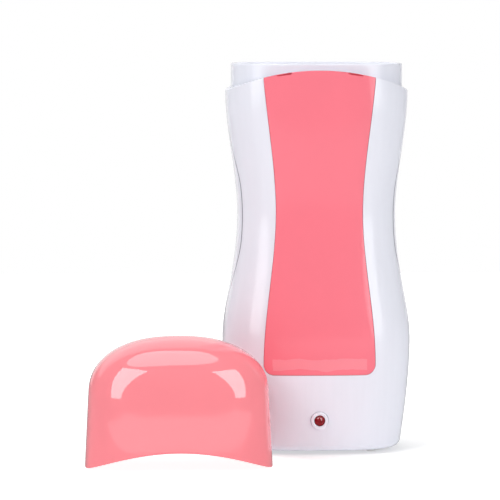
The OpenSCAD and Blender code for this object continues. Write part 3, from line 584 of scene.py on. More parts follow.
class Skin:
    """The housing's surface, with the outlines of its seam and panel, at an inset from the outside."""

    def __init__(self, side=0.0, face=0.0):
        scene = bpy.context.scene
        for group, prefix in ((scene.warmer_housing, ""), (scene.warmer_panel, "panel_")):
            for key in group.__annotations__:
                setattr(self, prefix + key, getattr(group, key))
        self.side, self.face = side, face
        low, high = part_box("front_shell")
        self.foot_z, self.arch_z = low.z, high.z + self.arch_lift
        self.side_z = self.arch_at(self.shoulder_w / 2)
        self.shoulder_z = self.side_z - self.shoulder_drop
        heights = (self.bulge_z, self.waist_z, self.shoulder_z)
        self.widths = outline_stations(self.base_w, self.bulge_w, self.waist_w, self.shoulder_w, *heights)
        self.depths = outline_stations(self.base_d, self.bulge_d, self.waist_d, self.shoulder_d, *heights)
        self.panel_corner_z = self.panel_low_z + self.panel_corner_r
        flare = (self.panel_top_w - self.panel_waist_w) / 2 / (self.arch_z - self.waist_z)
        self.panel_widths = [
            (self.panel_corner_z, self.panel_low_w / 2, 0.0),
            (self.waist_z + self.panel_waist_lift, self.panel_waist_w / 2, 0.0),
            (self.arch_z - self.panel_top_drop, self.panel_top_w / 2, flare),
        ]

    def arch_at(self, x):
        return self.arch_z - self.arch_r + math.sqrt(self.arch_r ** 2 - x * x)

    def foot_rows(self, *degrees):
        """Heights of the rows round the bottom edge, from how far it has turned."""
        turns = [math.radians(turn) for turn in range(*degrees)]
        return [self.foot_z + self.base_round * (1 - math.cos(turn)) for turn in turns]

    def base_inset(self, z):
        depth = self.base_round - (z - self.foot_z)
        if depth <= 0:
            return 0.0
        return self.base_round - math.sqrt(max(0.0, self.base_round ** 2 - depth ** 2))

    def half_w(self, z):
        return cubic_curve(self.widths, z) - self.base_inset(z) - self.side

    def half_d(self, z):
        return cubic_curve(self.depths, z) - self.base_inset(z) - self.face

    def seam_y(self, z):
        if z < self.waist_z:
            share_z = (z - self.bulge_z) / (self.waist_z - self.bulge_z)
        else:
            share_z = (self.shoulder_z - z) / (self.shoulder_z - self.waist_z)
        return -self.seam_sweep * ease(share_z / SWEEP_SHARE)

    def lifted(self, height, angle):
        """Height of a point of a level row once the arch has lifted it."""
        x = oval_point(self.half_w(height), 1.0, angle, self.squareness)[0]
        share_z = ease((height - self.waist_z) / (self.side_z - self.waist_z))
        return height + (self.arch_at(x) - self.side_z) * share_z

    def point(self, height, angle):
        """Point of the surface at an angle round the oval, on the row that starts at this height."""
        z = self.lifted(height, angle)
        x, y = oval_point(self.half_w(z), self.half_d(z), angle, self.squareness)
        return Vector((x, y, z))

    def solved(self, height, angle_at):
        """Angle on a row where angle_at(z) agrees with the height that the arch gives it."""
        z = height
        for _ in range(4):
            angle = angle_at(z)
            z = self.lifted(height, angle)
        return angle

    def seam(self, height, side):
        """Angle of the right seam's edge, of the front half (side -1) or the rear half (side 1)."""
        return self.solved(height, lambda z: oval_angle_at_y(
            self.seam_y(z) + side * self.seam_gap / 2, self.half_d(z), self.squareness))

    def angle_at(self, x, z):
        return oval_angle_at_x(x, self.half_w(z), self.squareness)

    def depth_at(self, x, z):
        """Distance of the surface from the middle plane, at a place seen from the front or the back."""
        return oval_reach(x, self.half_w(z), self.half_d(z), self.squareness)

    def down_the_side(self, angle_at):
        """Rows from the shoulder to the panel's lower corner, each with its angle_at(height)."""
        rows = [mix(self.side_z, self.panel_corner_z, i / SIDE_STEPS) for i in range(SIDE_STEPS)]
        return [(height, angle_at(height)) for height in rows]

    def panel_outline(self, grow):
        """Rows and angles down the right edge of the panel, round its corner and to its middle."""
        made = self.down_the_side(lambda height: self.solved(
            height, lambda z: self.angle_at(cubic_curve(self.panel_widths, z) + grow, z)))
        radius = self.panel_corner_r + grow
        centre_x = self.panel_low_w / 2 - self.panel_corner_r
        for i in range(CORNER_STEPS):
            turn = QUARTER * i / CORNER_STEPS
            z = self.panel_corner_z - radius * math.sin(turn)
            made.append((z, self.angle_at(centre_x + radius * math.cos(turn), z)))
        z = self.panel_low_z - grow
        for i in range(BOTTOM_STEPS + 1):
            made.append((z, self.angle_at(centre_x * (1 - i / BOTTOM_STEPS), z)))
        return made

    def shell_border(self):
        """Rows and angles down the right seam of the front half, and along the skirt's top to its middle."""
        skirt_z = SKIRT_ROWS[0]
        made = self.down_the_side(lambda height: self.seam(height, -1))
        for i in range(BORDER_STEPS):
            height = mix(self.panel_corner_z, skirt_z, i / BORDER_STEPS)
            made.append((height, self.seam(height, -1)))
        start = self.seam(skirt_z, -1)
        end = self.angle_at(self.panel_low_w / 2 - self.panel_corner_r, skirt_z)
        rest = CORNER_STEPS - BORDER_STEPS
        made += [(skirt_z, mix(start, end, i / rest)) for i in range(rest)]
        made += [(skirt_z, mix(end, -QUARTER, i / BOTTOM_STEPS)) for i in range(BOTTOM_STEPS + 1)]
        return made


def mirrored(line):
    """A line of rows and angles from its right end to the middle, and on to its left end."""
    return line + [(height, -HALF_TURN - angle) for height, angle in line[-2::-1]]


def inner_field(skin, line):
    """place(row, col) across the face inside a mirrored outline: rows go down, columns from right to left."""
    last = len(line) - 1
    cols = last - 2 * FIELD_ROWS

    def place(row, col):
        if row == FIELD_ROWS:
            return skin.point(*line[FIELD_ROWS + col])
        return skin.point(line[row][0], mix(line[row][1], line[last - row][1], col / cols))
    return place


def looks_out(skin, edge, middle):
    """Whether one of the edge's faces lies on the outside of the housing."""
    out = Vector((middle.x / (skin.waist_w / 2) ** 2, middle.y / (skin.waist_d / 2) ** 2, 0))
    return any(face.normal.dot(out) > OUT_SLOPE for face in edge.link_faces)


def upright(edge):
    return abs(edge.verts[0].co.z - edge.verts[1].co.z) > UPRIGHT_SHARE * edge.calc_length()


# Posts, holes and hooks

def hook_blocks(name, skin, low, high):
    """A block at each of the two hooks, between two corners measured from the arched edge there."""
    blocks = []
    for side in (-1, 1):
        x = side * skin.panel_hook_x
        lean = Matrix.Rotation(side * math.asin(skin.panel_hook_x / skin.arch_r), 4, "Y")
        blocks.append(moved(slab(name, low, high), Matrix.Translation((x, 0, skin.arch_at(x))) @ lean))
    return blocks


def peg_places(skin):
    """The middle of each of the panel's four pegs, in the middle plane."""
    sizes = bpy.context.scene.warmer_fixings
    heights = (skin.panel_low_z + sizes.low_peg_lift, skin.waist_z + sizes.high_peg_lift)
    return [Vector((side * sizes.peg_x, 0, z)) for side in (-1, 1) for z in heights]


def case_posts(piece, skin, side, radius):
    """Fuses on one half's posts for the case screws. The upper ones leave room for the ears of the well."""
    sizes = bpy.context.scene.warmer_fixings
    posts = []
    for middle, low, high in solids_of("case_screws"):
        start = sizes.clear + (sizes.ear_t / 2 if middle.z > skin.waist_z else 0.0)
        wall_y = skin.depth_at(abs(middle.x) + radius, middle.z) - sizes.sink
        posts.append(rod("post", radius, middle, *sorted((side * start, side * wall_y)), 32))
    return fused(piece, posts)


def base_posts(piece, skin, side):
    """Fuses on one half's posts for the base screws, each with a web to the side wall, and drills them."""
    sizes = bpy.context.scene.warmer_fixings
    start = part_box("base_plate")[1].z + sizes.clear
    top = start + sizes.base_post_h
    a = skin.half_w(start) - skin.side_wall / 2
    b = skin.half_d(start) - skin.face_wall / 2
    posts, webs, holes = [], [], []
    for middle, low, high in solids_of("base_screws"):
        if middle.y * side < 0:
            continue
        reach = math.copysign(oval_reach(middle.y, b, a, skin.squareness), middle.x)
        inner, outer = sorted((middle.x, reach))
        posts.append(pillar("post", sizes.base_post_r, middle, start, top))
        webs.append(slab("web", (inner, middle.y - sizes.web_t / 2, start + sizes.tip_gap),
                         (outer, middle.y + sizes.web_t / 2, top - sizes.clear)))
        holes.append(pillar("hole", SCREW_R, middle, start - sizes.tip_gap, high.z + sizes.tip_gap))
    fused(piece, posts)
    fused(piece, webs)
    return drilled(piece, holes)


def screw_holes(node, radius, start=None, end=None):
    """A hole along Y for each screw of a node. An end that isn't given lies just past the screw's own."""
    gap = bpy.context.scene.warmer_fixings.tip_gap
    holes = []
    for middle, low, high in solids_of(node):
        from_y = low.y - gap if start is None else start
        to_y = high.y + gap if end is None else end
        holes.append(rod("hole", radius, middle, from_y, to_y, 24))
    return holes


# Two halves of the housing, and the front panel

# Radii of the screws' shanks
SCREW_R = 0.0011
SMALL_SCREW_R = 0.0009
# Depth of the inlet's body in front of the pad, and its half width and half height
INLET_BODY = 0.0133
INLET_HALF = (0.0098, 0.0056)
# How much a face has to look away from the middle to count as outside, and the share of an edge's length that
# has to be height for it to count as upright
OUT_SLOPE = 2.0
UPRIGHT_SHARE = 0.7
# Distance from the middle past which the front half's upright edges are those of the seam
SEAM_X = 0.028
# How much the outline grows for each ring of faces at the panel's edge
PANEL_RINGS = (0, -0.0009, -0.0018, -0.003)
# Direction along Y up to which a face of the panel looks to the front
TO_FRONT = -0.5


def front_shell():
    outside = Skin()
    skins = (outside, Skin(outside.side_wall, outside.face_wall))
    rims = [mirrored(skin.panel_outline(skin.panel_gap)) for skin in skins]
    borders = [mirrored(skin.shell_border()) for skin in skins]
    fields = [inner_field(skin, rim) for skin, rim in zip(skins, rims)]
    count = len(rims[0]) - 1
    seat = Vector((0, outside.panel_thickness + bpy.context.scene.warmer_fixings.clear, 0))

    def on(k, row, col):
        (rim_z, rim_angle), (border_z, border_angle) = rims[k][col], borders[k][col]
        share = BAND_SHARES[row]
        return skins[k].point(mix(rim_z, border_z, share), mix(rim_angle, border_angle, share))

    def band(row, col):
        return on(0, row, col), on(1, row, col)

    def recess_wall(row, col):
        return on(0, 0, col) + row * seat, on(1, 0, col)

    def floor(row, col):
        return fields[0](row, col) + seat, fields[1](row, col)

    first = SIDE_STEPS + BORDER_STEPS
    skirt_rows = [*SKIRT_ROWS, *outside.foot_rows(90, -1, -15)]

    def skirt(row, col):
        points = []
        for skin, border in zip(skins, borders):
            start, end = border[first][1], border[count - first][1]
            edge = skin.seam(skirt_rows[row], -1)
            share = (border[first + col][1] - start) / (end - start)
            points.append(skin.point(skirt_rows[row], mix(edge, -HALF_TURN - edge, share)))
        return points

    piece = walled(joined("front_shell_piece", [
        sheet("band", len(BAND_SHARES) - 1, count, band),
        sheet("recess_wall", 1, count, recess_wall),
        sheet("floor", FIELD_ROWS, count - 2 * FIELD_ROWS, floor),
        sheet("skirt", len(skirt_rows) - 1, count - 2 * first, skirt),
    ]))

    def on_seam(edge, middle):
        return abs(middle.x) > SEAM_X and upright(edge)

    def on_top(middle):
        return middle.z > outside.arch_at(middle.x) - WELD and abs(middle.x) > outside.panel_top_w / 2

    def at_recess(edge, middle):
        above_foot = middle.z > outside.base_round + outside.foot_z
        return above_foot and not on_seam(edge, middle) and not on_top(middle)

    rounded(piece, outside.top_round, 5,
            lambda edge, middle: looks_out(outside, edge, middle) and on_top(middle))
    rounded(piece, outside.edge_round, 4,
            lambda edge, middle: looks_out(outside, edge, middle) and at_recess(edge, middle))
    rounded(piece, outside.seam_round, 3,
            lambda edge, middle: looks_out(outside, edge, middle) and on_seam(edge, middle))
    return smooth(front_fixings(piece, outside))


def front_fixings(piece, skin):
    """The front half's posts, its screw holes, and the holes for the lamp, the pegs and the hooks."""
    sizes = bpy.context.scene.warmer_fixings
    case_posts(piece, skin, -1, sizes.front_post_r)
    base_posts(piece, skin, -1)
    board_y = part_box("lamp_board")[0].y
    posts = []
    for middle, low, high in solids_of("board_screws"):
        start = skin.panel_thickness - skin.depth_at(middle.x, middle.z)
        posts.append(rod("post", sizes.board_post_r, middle, start, board_y - sizes.clear, 32))
    fused(piece, posts)
    holes = screw_holes("case_screws", SCREW_R, end=0.0)
    holes += screw_holes("board_screws", SMALL_SCREW_R, end=board_y)
    through = (-skin.bulge_d, -skin.waist_d / 4)
    holes += [rod("peg_hole", sizes.peg_r + sizes.clear, middle, *through, 24) for middle in peg_places(skin)]
    lamp = Vector((0, 0, solids_of("lamp_bezel")[0][0].z))
    ring_r = bpy.context.scene.warmer_lamp.bezel_r + 2 * sizes.clear
    holes.append(rod("lamp_hole", ring_r, lamp, *through, 64))
    drilled(piece, holes)
    half = skin.panel_hook_w / 2
    return drilled(piece, hook_blocks(
        "passage", skin, (-half, -skin.shoulder_d / 2, -sizes.hook_drop - sizes.hook_t - sizes.clear),
        (half, -skin.shoulder_d / 4, sizes.clear - sizes.hook_drop)))


def rear_shell():
    outside = Skin()
    skins = (outside, Skin(outside.side_wall, outside.face_wall))
    cols, upper_rows = 96, 84
    heights = outside.foot_rows(0, 90, 15)
    start = outside.foot_z + outside.base_round
    heights += [mix(start, outside.side_z, i / upper_rows) for i in range(upper_rows + 1)]

    def place(row, col):
        points = []
        for skin in skins:
            edge = skin.seam(heights[row], 1)
            points.append(skin.point(heights[row], mix(edge, HALF_TURN - edge, col / cols)))
        return points

    piece = walled(sheet("rear_shell_piece", len(heights) - 1, cols, place))
    rounded(piece, outside.top_round, 5,
            lambda edge, middle: (looks_out(outside, edge, middle) and not upright(edge)
                                  and middle.z > outside.waist_z))
    rounded(piece, outside.seam_round, 3,
            lambda edge, middle: looks_out(outside, edge, middle) and upright(edge))
    return smooth(rear_fixings(piece, outside))


def rear_fixings(piece, skin):
    """The rear half's posts, its screw holes, and the pad and opening for the inlet."""
    sizes = bpy.context.scene.warmer_fixings
    case_posts(piece, skin, 1, sizes.post_r)
    base_posts(piece, skin, 1)
    pad_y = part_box("power_inlet")[0].y + INLET_BODY
    inlet_z = solids_of("inlet_screws")[0][0].z
    half = sizes.pad_w / 2
    wall_y = skin.depth_at(half, inlet_z) - sizes.sink - skin.side_wall
    fused(piece, [slab("pad", (-half, pad_y, inlet_z - sizes.pad_h / 2),
                       (half, wall_y, inlet_z + sizes.pad_h / 2))])
    half_w, half_h = (size + 2 * sizes.clear for size in INLET_HALF)
    drilled(piece, [slab("opening", (-half_w, 0.0, inlet_z - half_h),
                         (half_w, skin.bulge_d, inlet_z + half_h))])
    heads, holes = [], []
    for middle, low, high in solids_of("case_screws"):
        seat_y = high.y - SCREWS["case_screws"][0]
        head_r = (high.x - low.x) / 2 + 4 * sizes.clear
        heads.append(rod("head_hole", head_r, middle, seat_y, skin.bulge_d))
        holes.append(rod("hole", SCREW_R + 2 * sizes.clear, middle, 0.0, seat_y + sizes.tip_gap, 24))
    holes += screw_holes("inlet_screws", SMALL_SCREW_R, start=pad_y - sizes.tip_gap)
    drilled(piece, heads)
    return drilled(piece, holes)


def front_panel():
    skin = Skin()
    lines = [mirrored(skin.panel_outline(grow)) for grow in PANEL_RINGS]
    count = len(lines[0]) - 1
    back = Vector((0, skin.panel_thickness, 0))
    middle_of = inner_field(skin, lines[-1])

    def edge_band(row, col):
        point = skin.point(*lines[row][col])
        return point, point + back

    def field(row, col):
        point = middle_of(row, col)
        return point, point + back

    piece = walled(joined("front_panel_piece", [
        sheet("edge_band", len(lines) - 1, count, edge_band),
        sheet("field", FIELD_ROWS, count - 2 * FIELD_ROWS, field),
    ]))
    rounded(piece, skin.panel_edge_round, 4,
            lambda edge, middle: any(face.normal.y < TO_FRONT for face in edge.link_faces))
    return smooth(panel_fixings(piece, skin))


def panel_fixings(piece, skin):
    """The panel's blind slots, its hooks behind them and its pegs."""
    sizes = bpy.context.scene.warmer_fixings
    half, top = skin.panel_hook_w / 2, -skin.panel_hook_edge
    face_y = -skin.depth_at(skin.panel_hook_x, skin.shoulder_z)
    web_y = face_y + skin.panel_thickness - skin.panel_hook_web
    drilled(piece, hook_blocks(
        "slot", skin, (-half, -skin.bulge_d, top - skin.panel_hook_slot), (half, web_y, top)))
    sunk = skin.panel_thickness - sizes.sink
    half -= 3 * sizes.clear
    start = sunk - skin.depth_at(skin.panel_hook_x + half, skin.shoulder_z)
    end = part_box("cartridge_well")[0].y - 3 * sizes.clear
    fused(piece, hook_blocks(
        "hook", skin, (-half, start, -sizes.hook_drop - sizes.hook_t), (half, end, -sizes.hook_drop)))
    pegs = []
    for middle in peg_places(skin):
        face = skin.depth_at(middle.x, middle.z)
        pegs.append(rod("peg", sizes.peg_r, middle, sunk - face, skin.face_wall - face, 24))
    return fused(piece, pegs)


# Collar and pocket

# How far below the sides' top edge the collar starts
COLLAR_DROP = 0.0014
# Window behind the heat plate: how far it lies inside the plate's lower and upper edge, and half its width
WINDOW_INSET = 0.0019
WINDOW_HALF_W = 0.0151


def oval_solid(name, profile, power, sides=144):
    """A solid whose sections are ovals, from a profile of (half width, half depth, height)."""
    def place(row, col):
        a, b, z = profile[row]
        x, y = oval_point(a, b, FULL_TURN * col / sides, power)
        return (x, y, z), (x, y, z)

    piece = sheet(name, len(profile) - 1, sides, place)
    with editing(piece):
        weld()
    return piece


def cartridge_well():
    sizes = bpy.context.scene.warmer_well
    housing = Skin()
    low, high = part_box("cartridge_well")
    rim, dish_z = high.z, high.z - sizes.dish_depth
    neck_z, collar_z = dish_z - sizes.dish_t, housing.side_z - COLLAR_DROP
    collar_a, collar_b = (high.x - low.x) / 2, (high.y - low.y) / 2
    dish_a, dish_b = collar_a - sizes.collar_wall, collar_b - sizes.collar_wall
    a, b = sizes.pocket_w / 2, sizes.pocket_d / 2
    sleeve_a, sleeve_b = a + sizes.pocket_wall, b + sizes.pocket_wall
    # Each corner of the wall's section, with the radius that blends it
    corners = [
        (0, 0, low.z, 0),
        (sleeve_a, sleeve_b, low.z, 0.001),
        (sleeve_a, sleeve_b, neck_z, 0.0006),
        (dish_a, dish_b, neck_z, 0.0006),
        (dish_a, dish_b, collar_z, 0.0003),
        (collar_a, collar_b, collar_z, 0.0003),
        (collar_a, collar_b, rim, sizes.rim_round),
        (dish_a, dish_b, rim, sizes.rim_round),
        (dish_a, dish_b, dish_z, 0.001),
        (a, b, dish_z, 0.0008),
        (a, b, sizes.pocket_z, 0.0015),
        (0, 0, sizes.pocket_z, 0),
    ]
    piece = oval_solid("cartridge_well_piece", filleted(corners), housing.squareness)
    plate_low, plate_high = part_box("heat_plate")
    cut(piece, slab("window", (-WINDOW_HALF_W, 0.0, plate_low.z + WINDOW_INSET),
                    (WINDOW_HALF_W, plate_high.y, plate_high.z - WINDOW_INSET)))
    return smooth(well_fixings(piece, a, sleeve_b))


def well_fixings(piece, pocket_a, sleeve_b):
    """The ears that the two halves clamp, and the bosses for the heater's clip."""
    sizes = bpy.context.scene.warmer_fixings
    waist_z = bpy.context.scene.warmer_housing.waist_z
    ears = [middle for middle, low, high in solids_of("case_screws") if middle.z > waist_z]
    half_t, r = sizes.ear_t / 2, sizes.post_r
    blocks = []
    for ear in ears:
        inner, outer = sorted((math.copysign(pocket_a + sizes.tip_gap, ear.x), ear.x))
        blocks.append(slab("ear", (inner, -half_t, ear.z - r), (outer, half_t, ear.z + r)))
    fused(piece, blocks)
    fused(piece, [rod("ear_end", r, ear, -half_t, half_t, 32) for ear in ears])
    clip_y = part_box("heater_clip")[0].y
    fused(piece, [rod("boss", sizes.boss_r, middle, sleeve_b - sizes.boss_sink, clip_y - sizes.clear, 32)
                  for middle, low, high in solids_of("clip_screws")])
    holes = [rod("hole", SCREW_R + 2 * sizes.clear, ear, -2 * half_t, 2 * half_t, 24) for ear in ears]
    return drilled(piece, holes + screw_holes("clip_screws", SMALL_SCREW_R, end=clip_y + sizes.tip_gap))


# Cap

# Faces round the cap, up its sides and over its dome
CAP_COLS = 168
CAP_SIDE_ROWS = 24
CAP_DOME_ROWS = 44
# Height under which the edges that are rounded lie, all of them at the mouth
MOUTH_Z = 0.012


def cap_body():
    sizes = bpy.context.scene.warmer_cap
    housing = Skin()
    low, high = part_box("cap")
    middle = (low + high) / 2

    def ring_point(row, col, inset, top):
        angle = FULL_TURN * col / CAP_COLS
        half_w, half_d = housing.shoulder_w / 2 - inset, housing.shoulder_d / 2 - inset
        shrink = 1.0
        if row <= CAP_SIDE_ROWS:
            x = oval_point(half_w, 1.0, angle, housing.squareness)[0]
            edge = max(0.0, housing.arch_at(x) - housing.side_z)
            z = mix(edge, sizes.dome_z, row / CAP_SIDE_ROWS)
        else:
            turn = QUARTER * (row - CAP_SIDE_ROWS) / CAP_DOME_ROWS
            z = sizes.dome_z + (high.z - top - sizes.dome_z) * math.sin(turn) ** (2 / sizes.dome_power)
            shrink = max(0.0, math.cos(turn)) ** (2 / sizes.dome_power)
        if row == CAP_SIDE_ROWS + CAP_DOME_ROWS:
            shrink = 0.0
        lean = sizes.draft * z / sizes.dome_z
        x, y = oval_point((half_w - lean) * shrink, (half_d - lean) * shrink, angle, housing.squareness)
        return Vector((x + middle.x, y + middle.y, z))

    def place(row, col):
        return ring_point(row, col, 0.0, 0.0), ring_point(row, col, sizes.wall, sizes.crown_wall)

    piece = walled(sheet("cap_piece", CAP_SIDE_ROWS + CAP_DOME_ROWS, CAP_COLS, place))
    rounded(piece, sizes.edge_round, 4, lambda edge, middle: middle.z < MOUTH_Z)
    return smooth(fused(piece, cap_ribs(sizes, housing, middle)))


def cap_ribs(sizes, housing, middle):
    """Four ribs inside the cap, which guide it onto the collar."""
    low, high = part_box("cartridge_well")
    inset = sizes.wall + sizes.draft / 2

    def reach(a, b):
        return oval_reach(sizes.rib_x, a, b, housing.squareness)

    inner = reach((high.x - low.x) / 2, (high.y - low.y) / 2) + sizes.rib_gap
    outer = reach(housing.shoulder_w / 2 - inset, housing.shoulder_d / 2 - inset) + sizes.wall / 2
    start = max(0.0, housing.arch_at(sizes.rib_x) - housing.side_z) + sizes.rib_lift
    ribs = []
    for side in (-1, 1):
        for face in (-1, 1):
            x = middle.x + side * sizes.rib_x
            near, far = sorted((middle.y + face * inner, middle.y + face * outer))
            ribs.append(slab("rib", (x - sizes.rib_w / 2, near, start),
                             (x + sizes.rib_w / 2, far, start + sizes.rib_h)))
    return ribs


# Lamp

# Width and thickness of the lamp's flange, behind its dome
LAMP_FLANGE = 0.0004
LAMP_FLANGE_T = 0.001
# Ring round the lamp: how far its lip covers the lamp, the lip's rounding and thickness, the gap behind the
# lip, the wall of its sleeve, and the thickness of what stands out of the front
LIP_COVER = 0.0002
LIP_ROUND = 0.00035
LIP_T = 0.0009
RING_GAP = 0.00005
RING_SLEEVE = 0.0006
RING_T = 0.00155


def facing_front(piece, node):
    """Turns a piece that was built up along Z to face the front, with its base at the back of a node."""
    middle, low, high = solids_of(node)[0]
    return moved(piece, Matrix.Translation((0, high.y, middle.z)) @ Matrix.Rotation(QUARTER, 4, "X"))


def pilot_lamp():
    low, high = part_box("pilot_lamp")
    r, depth = bpy.context.scene.warmer_lamp.lamp_r, high.y - low.y
    profile = [(0, 0), (r + LAMP_FLANGE, 0), (r + LAMP_FLANGE, LAMP_FLANGE_T), (r, LAMP_FLANGE_T)]
    profile += arc((0, depth - r), r, 0, 90, 14)
    return smooth(facing_front(turned("pilot_lamp_piece", profile, 64), "pilot_lamp"))


def lamp_bezel():
    sizes = bpy.context.scene.warmer_lamp
    low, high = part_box("lamp_bezel")
    r, edge, proud = sizes.bezel_r, sizes.bezel_round, high.y - low.y
    lip, bore = sizes.lamp_r - LIP_COVER, sizes.lamp_r + RING_GAP
    sleeve = sizes.lamp_r + RING_SLEEVE
    profile = [(lip, proud - LIP_T), (bore, proud - LIP_T - RING_GAP), (bore, 0), (sleeve, 0),
               (sleeve, proud - RING_T), (r, proud - RING_T)]
    profile += arc((r - edge, proud - edge), edge, 0, 90, 7)
    profile += arc((lip + LIP_ROUND, proud - LIP_ROUND), LIP_ROUND, 90, 180, 5)
    profile += [profile[0]]
    return smooth(facing_front(turned("lamp_bezel_piece", profile, 64), "lamp_bezel"))


# Feet and screws

FOOT_ROUND = 0.00035
# Screws by node: thickness of the head, radius of the shank, and the way that the heads look
SCREWS = {
    "case_screws": (0.0015, SCREW_R, (0, 1, 0)),
    "base_screws": (0.0013, SCREW_R, (0, 0, -1)),
    "board_screws": (0.0011, SMALL_SCREW_R, (0, 1, 0)),
    "clip_screws": (0.0011, SMALL_SCREW_R, (0, 1, 0)),
    "inlet_screws": (0.0011, SMALL_SCREW_R, (0, -1, 0)),
}
# Of a screw's head: its rounding and what is left under the cross, as shares of its thickness, the reach of
# the cross as a share of its radius, and the cross's half width as a share of that reach
HEAD_ROUND, CROSS_FLOOR, CROSS_REACH, CROSS_HALF_W = 0.35, 0.35, 0.62, 0.14
# Of a screw's shank, as shares of its radius: radius of the tip, pitch and depth of the thread
TIP_SHARE, PITCH_SHARE, THREAD_SHARE = 0.35, 0.45, 0.09


def feet():
    solids = solids_of("feet")
    middle, low, high = solids[0]
    r, h = (high.x - low.x) / 2, high.z - low.z
    profile = [(0, 0), *arc((r - FOOT_ROUND, FOOT_ROUND), FOOT_ROUND, -90, 0, 5), (r, h), (0, h)]
    places = [Matrix.Translation((middle.x, middle.y, low.z)) for middle, low, high in solids]
    return smooth(copies(turned("foot", profile, 40), "feet_piece", places))


def screw(head_r, head_t, shank_r, shank):
    """A screw with its head on top of z 0, a cross recess and a threaded shank below."""
    edge = HEAD_ROUND * head_t
    pitch, root = PITCH_SHARE * shank_r, shank_r - THREAD_SHARE * shank_r
    profile = [(0, -shank), (TIP_SHARE * shank_r, -shank)]
    for i in range(int((shank - 2 * pitch) / pitch)):
        z = -shank + pitch * (1 + i)
        profile += [(root, z), (shank_r, z + pitch / 2)]
    profile += [(root, 0), (head_r, 0), *arc((head_r - edge, head_t - edge), edge, 0, 90, 5), (0, head_t)]
    piece = turned("screw", profile, 32)
    reach = CROSS_REACH * head_r
    half_w = CROSS_HALF_W * reach
    for turn in (0, QUARTER):
        slot = slab("slot", (-reach, -half_w, CROSS_FLOOR * head_t), (reach, half_w, 2 * head_t))
        cut(piece, moved(slot, Matrix.Rotation(turn, 4, "Z")))
    return piece


def screws(node):
    """All the screws of a node."""
    head_t, shank_r, axis = SCREWS[node]
    solids = solids_of(node)
    middle, low, high = solids[0]
    along = max(range(3), key=lambda i: abs(axis[i]))
    head_r = (high - low)[(along + 1) % 3] / 2
    one = screw(head_r, head_t, shank_r, (high - low)[along] - head_t)
    turn = Vector((0, 0, 1)).rotation_difference(Vector(axis)).to_matrix().to_4x4()
    places = []
    for middle, low, high in solids:
        seat = middle.copy()
        seat[along] = high[along] - head_t if axis[along] > 0 else low[along] + head_t
        places.append(Matrix.Translation(seat) @ turn)
    return smooth(copies(one, node + "_piece", places))


# Finishes

class Value:
    """A shader socket that Python's operators work on."""

    def __init__(self, finish, socket):
        self.finish, self.socket = finish, socket

    def math(self, operation, *values):
        return self.finish.node("ShaderNodeMath", {"operation": operation}, dict(enumerate(values)))

    def __add__(self, other):
        return self.math("ADD", self, other)

    def __sub__(self, other):
        return self.math("SUBTRACT", self, other)

    def __rsub__(self, other):
        return self.math("SUBTRACT", other, self)

    def __mul__(self, other):
        return self.math("MULTIPLY", self, other)

    def __abs__(self):
        return self.math("ABSOLUTE", self)

    __radd__ = __add__
    __rmul__ = __mul__


class Finish:
    """A material, or the world's background, and the nodes that make it."""

    def __init__(self, owner, shader="Principled BSDF", coordinate="Object"):
        owner.use_nodes = True
        self.owner, self.tree = owner, owner.node_tree
        self.shader = self.tree.nodes[shader]
        self.place = self.node("ShaderNodeTexCoord", output=coordinate)

    @classmethod
    def named(cls, name):
        return cls(bpy.data.materials.new(name))

    def node(self, kind, settings=None, inputs=None, output=0):
        """Adds a node with its settings, and with values or links for its sockets."""
        made = self.tree.nodes.new(kind)
        for key, value in (settings or {}).items():
            setattr(made, key, value)
        for key, value in (inputs or {}).items():
            self.connect(made.inputs[key], value)
        return Value(self, made.outputs[output])

    def connect(self, socket, value):
        if isinstance(value, Value):
            self.tree.links.new(value.socket, socket)
        else:
            socket.default_value = value

    def shade(self, **sockets):
        """Sets or links the shader's sockets, named as in its panel with _ for a space."""
        for key, value in sockets.items():
            self.connect(self.shader.inputs[key.replace("_", " ")], value)
        return self

    def axis(self, letter):
        return self.node("ShaderNodeSeparateXYZ", {}, {"Vector": self.place}, output=letter)

    def ray(self, kind):
        """1 for rays of a kind, such as those from the camera."""
        return self.node("ShaderNodeLightPath", output=f"Is {kind} Ray")

    def vector(self, operation, *values, output="Vector"):
        return self.node("ShaderNodeVectorMath", {"operation": operation}, dict(enumerate(values)), output)

    def noise(self, size, detail=2.0, roughness=0.5, stretch=(1, 1, 1)):
        """Noise from 0 to 1 whose features are about this size."""
        place = self.node("ShaderNodeMapping", {}, {"Vector": self.place, "Scale": stretch})
        return self.node("ShaderNodeTexNoise", {}, {
            "Vector": place, "Scale": 1 / size, "Detail": detail, "Roughness": roughness})

    def blend(self, factor, first, second):
        """A colour between two colours."""
        return self.node("ShaderNodeMix", {"data_type": "RGBA"}, {0: factor, 6: first, 7: second}, output=2)

    def tones(self, pattern, tint, low, high):
        """A tint whose brightness goes from low to high with a pattern."""
        return self.blend(pattern, linear(tint, low), linear(tint, high))

    def over(self, mask, tint):
        """Lays a colour over the base colour where the mask is 1."""
        plain = Value(self, self.shader.inputs["Base Color"].links[0].from_socket)
        return self.shade(Base_Color=self.blend(mask, plain, tint))

    def step(self, value, start, end):
        """From 0 to 1 as a value goes from start to end."""
        return self.node("ShaderNodeMapRange", {"interpolation_type": "SMOOTHSTEP"},
                         {"Value": value, "From Min": start, "From Max": end})

    def within(self, value, low, high, soft):
        """1 between two values, and 0 outside them, over soft edges."""
        return self.step(value, low - soft, low + soft) * (1 - self.step(value, high - soft, high + soft))

    def bump(self, height, distance):
        return self.node("ShaderNodeBump", {}, {"Height": height, "Distance": distance})


def linear(tint, brightness=1.0):
    """A shader's colour from a colour as it looks on screen."""
    def channel(value):
        return value / 12.92 if value <= 0.04045 else ((value + 0.055) / 1.055) ** 2.4
    return tuple(channel(c) * brightness for c in tint) + (1.0,)


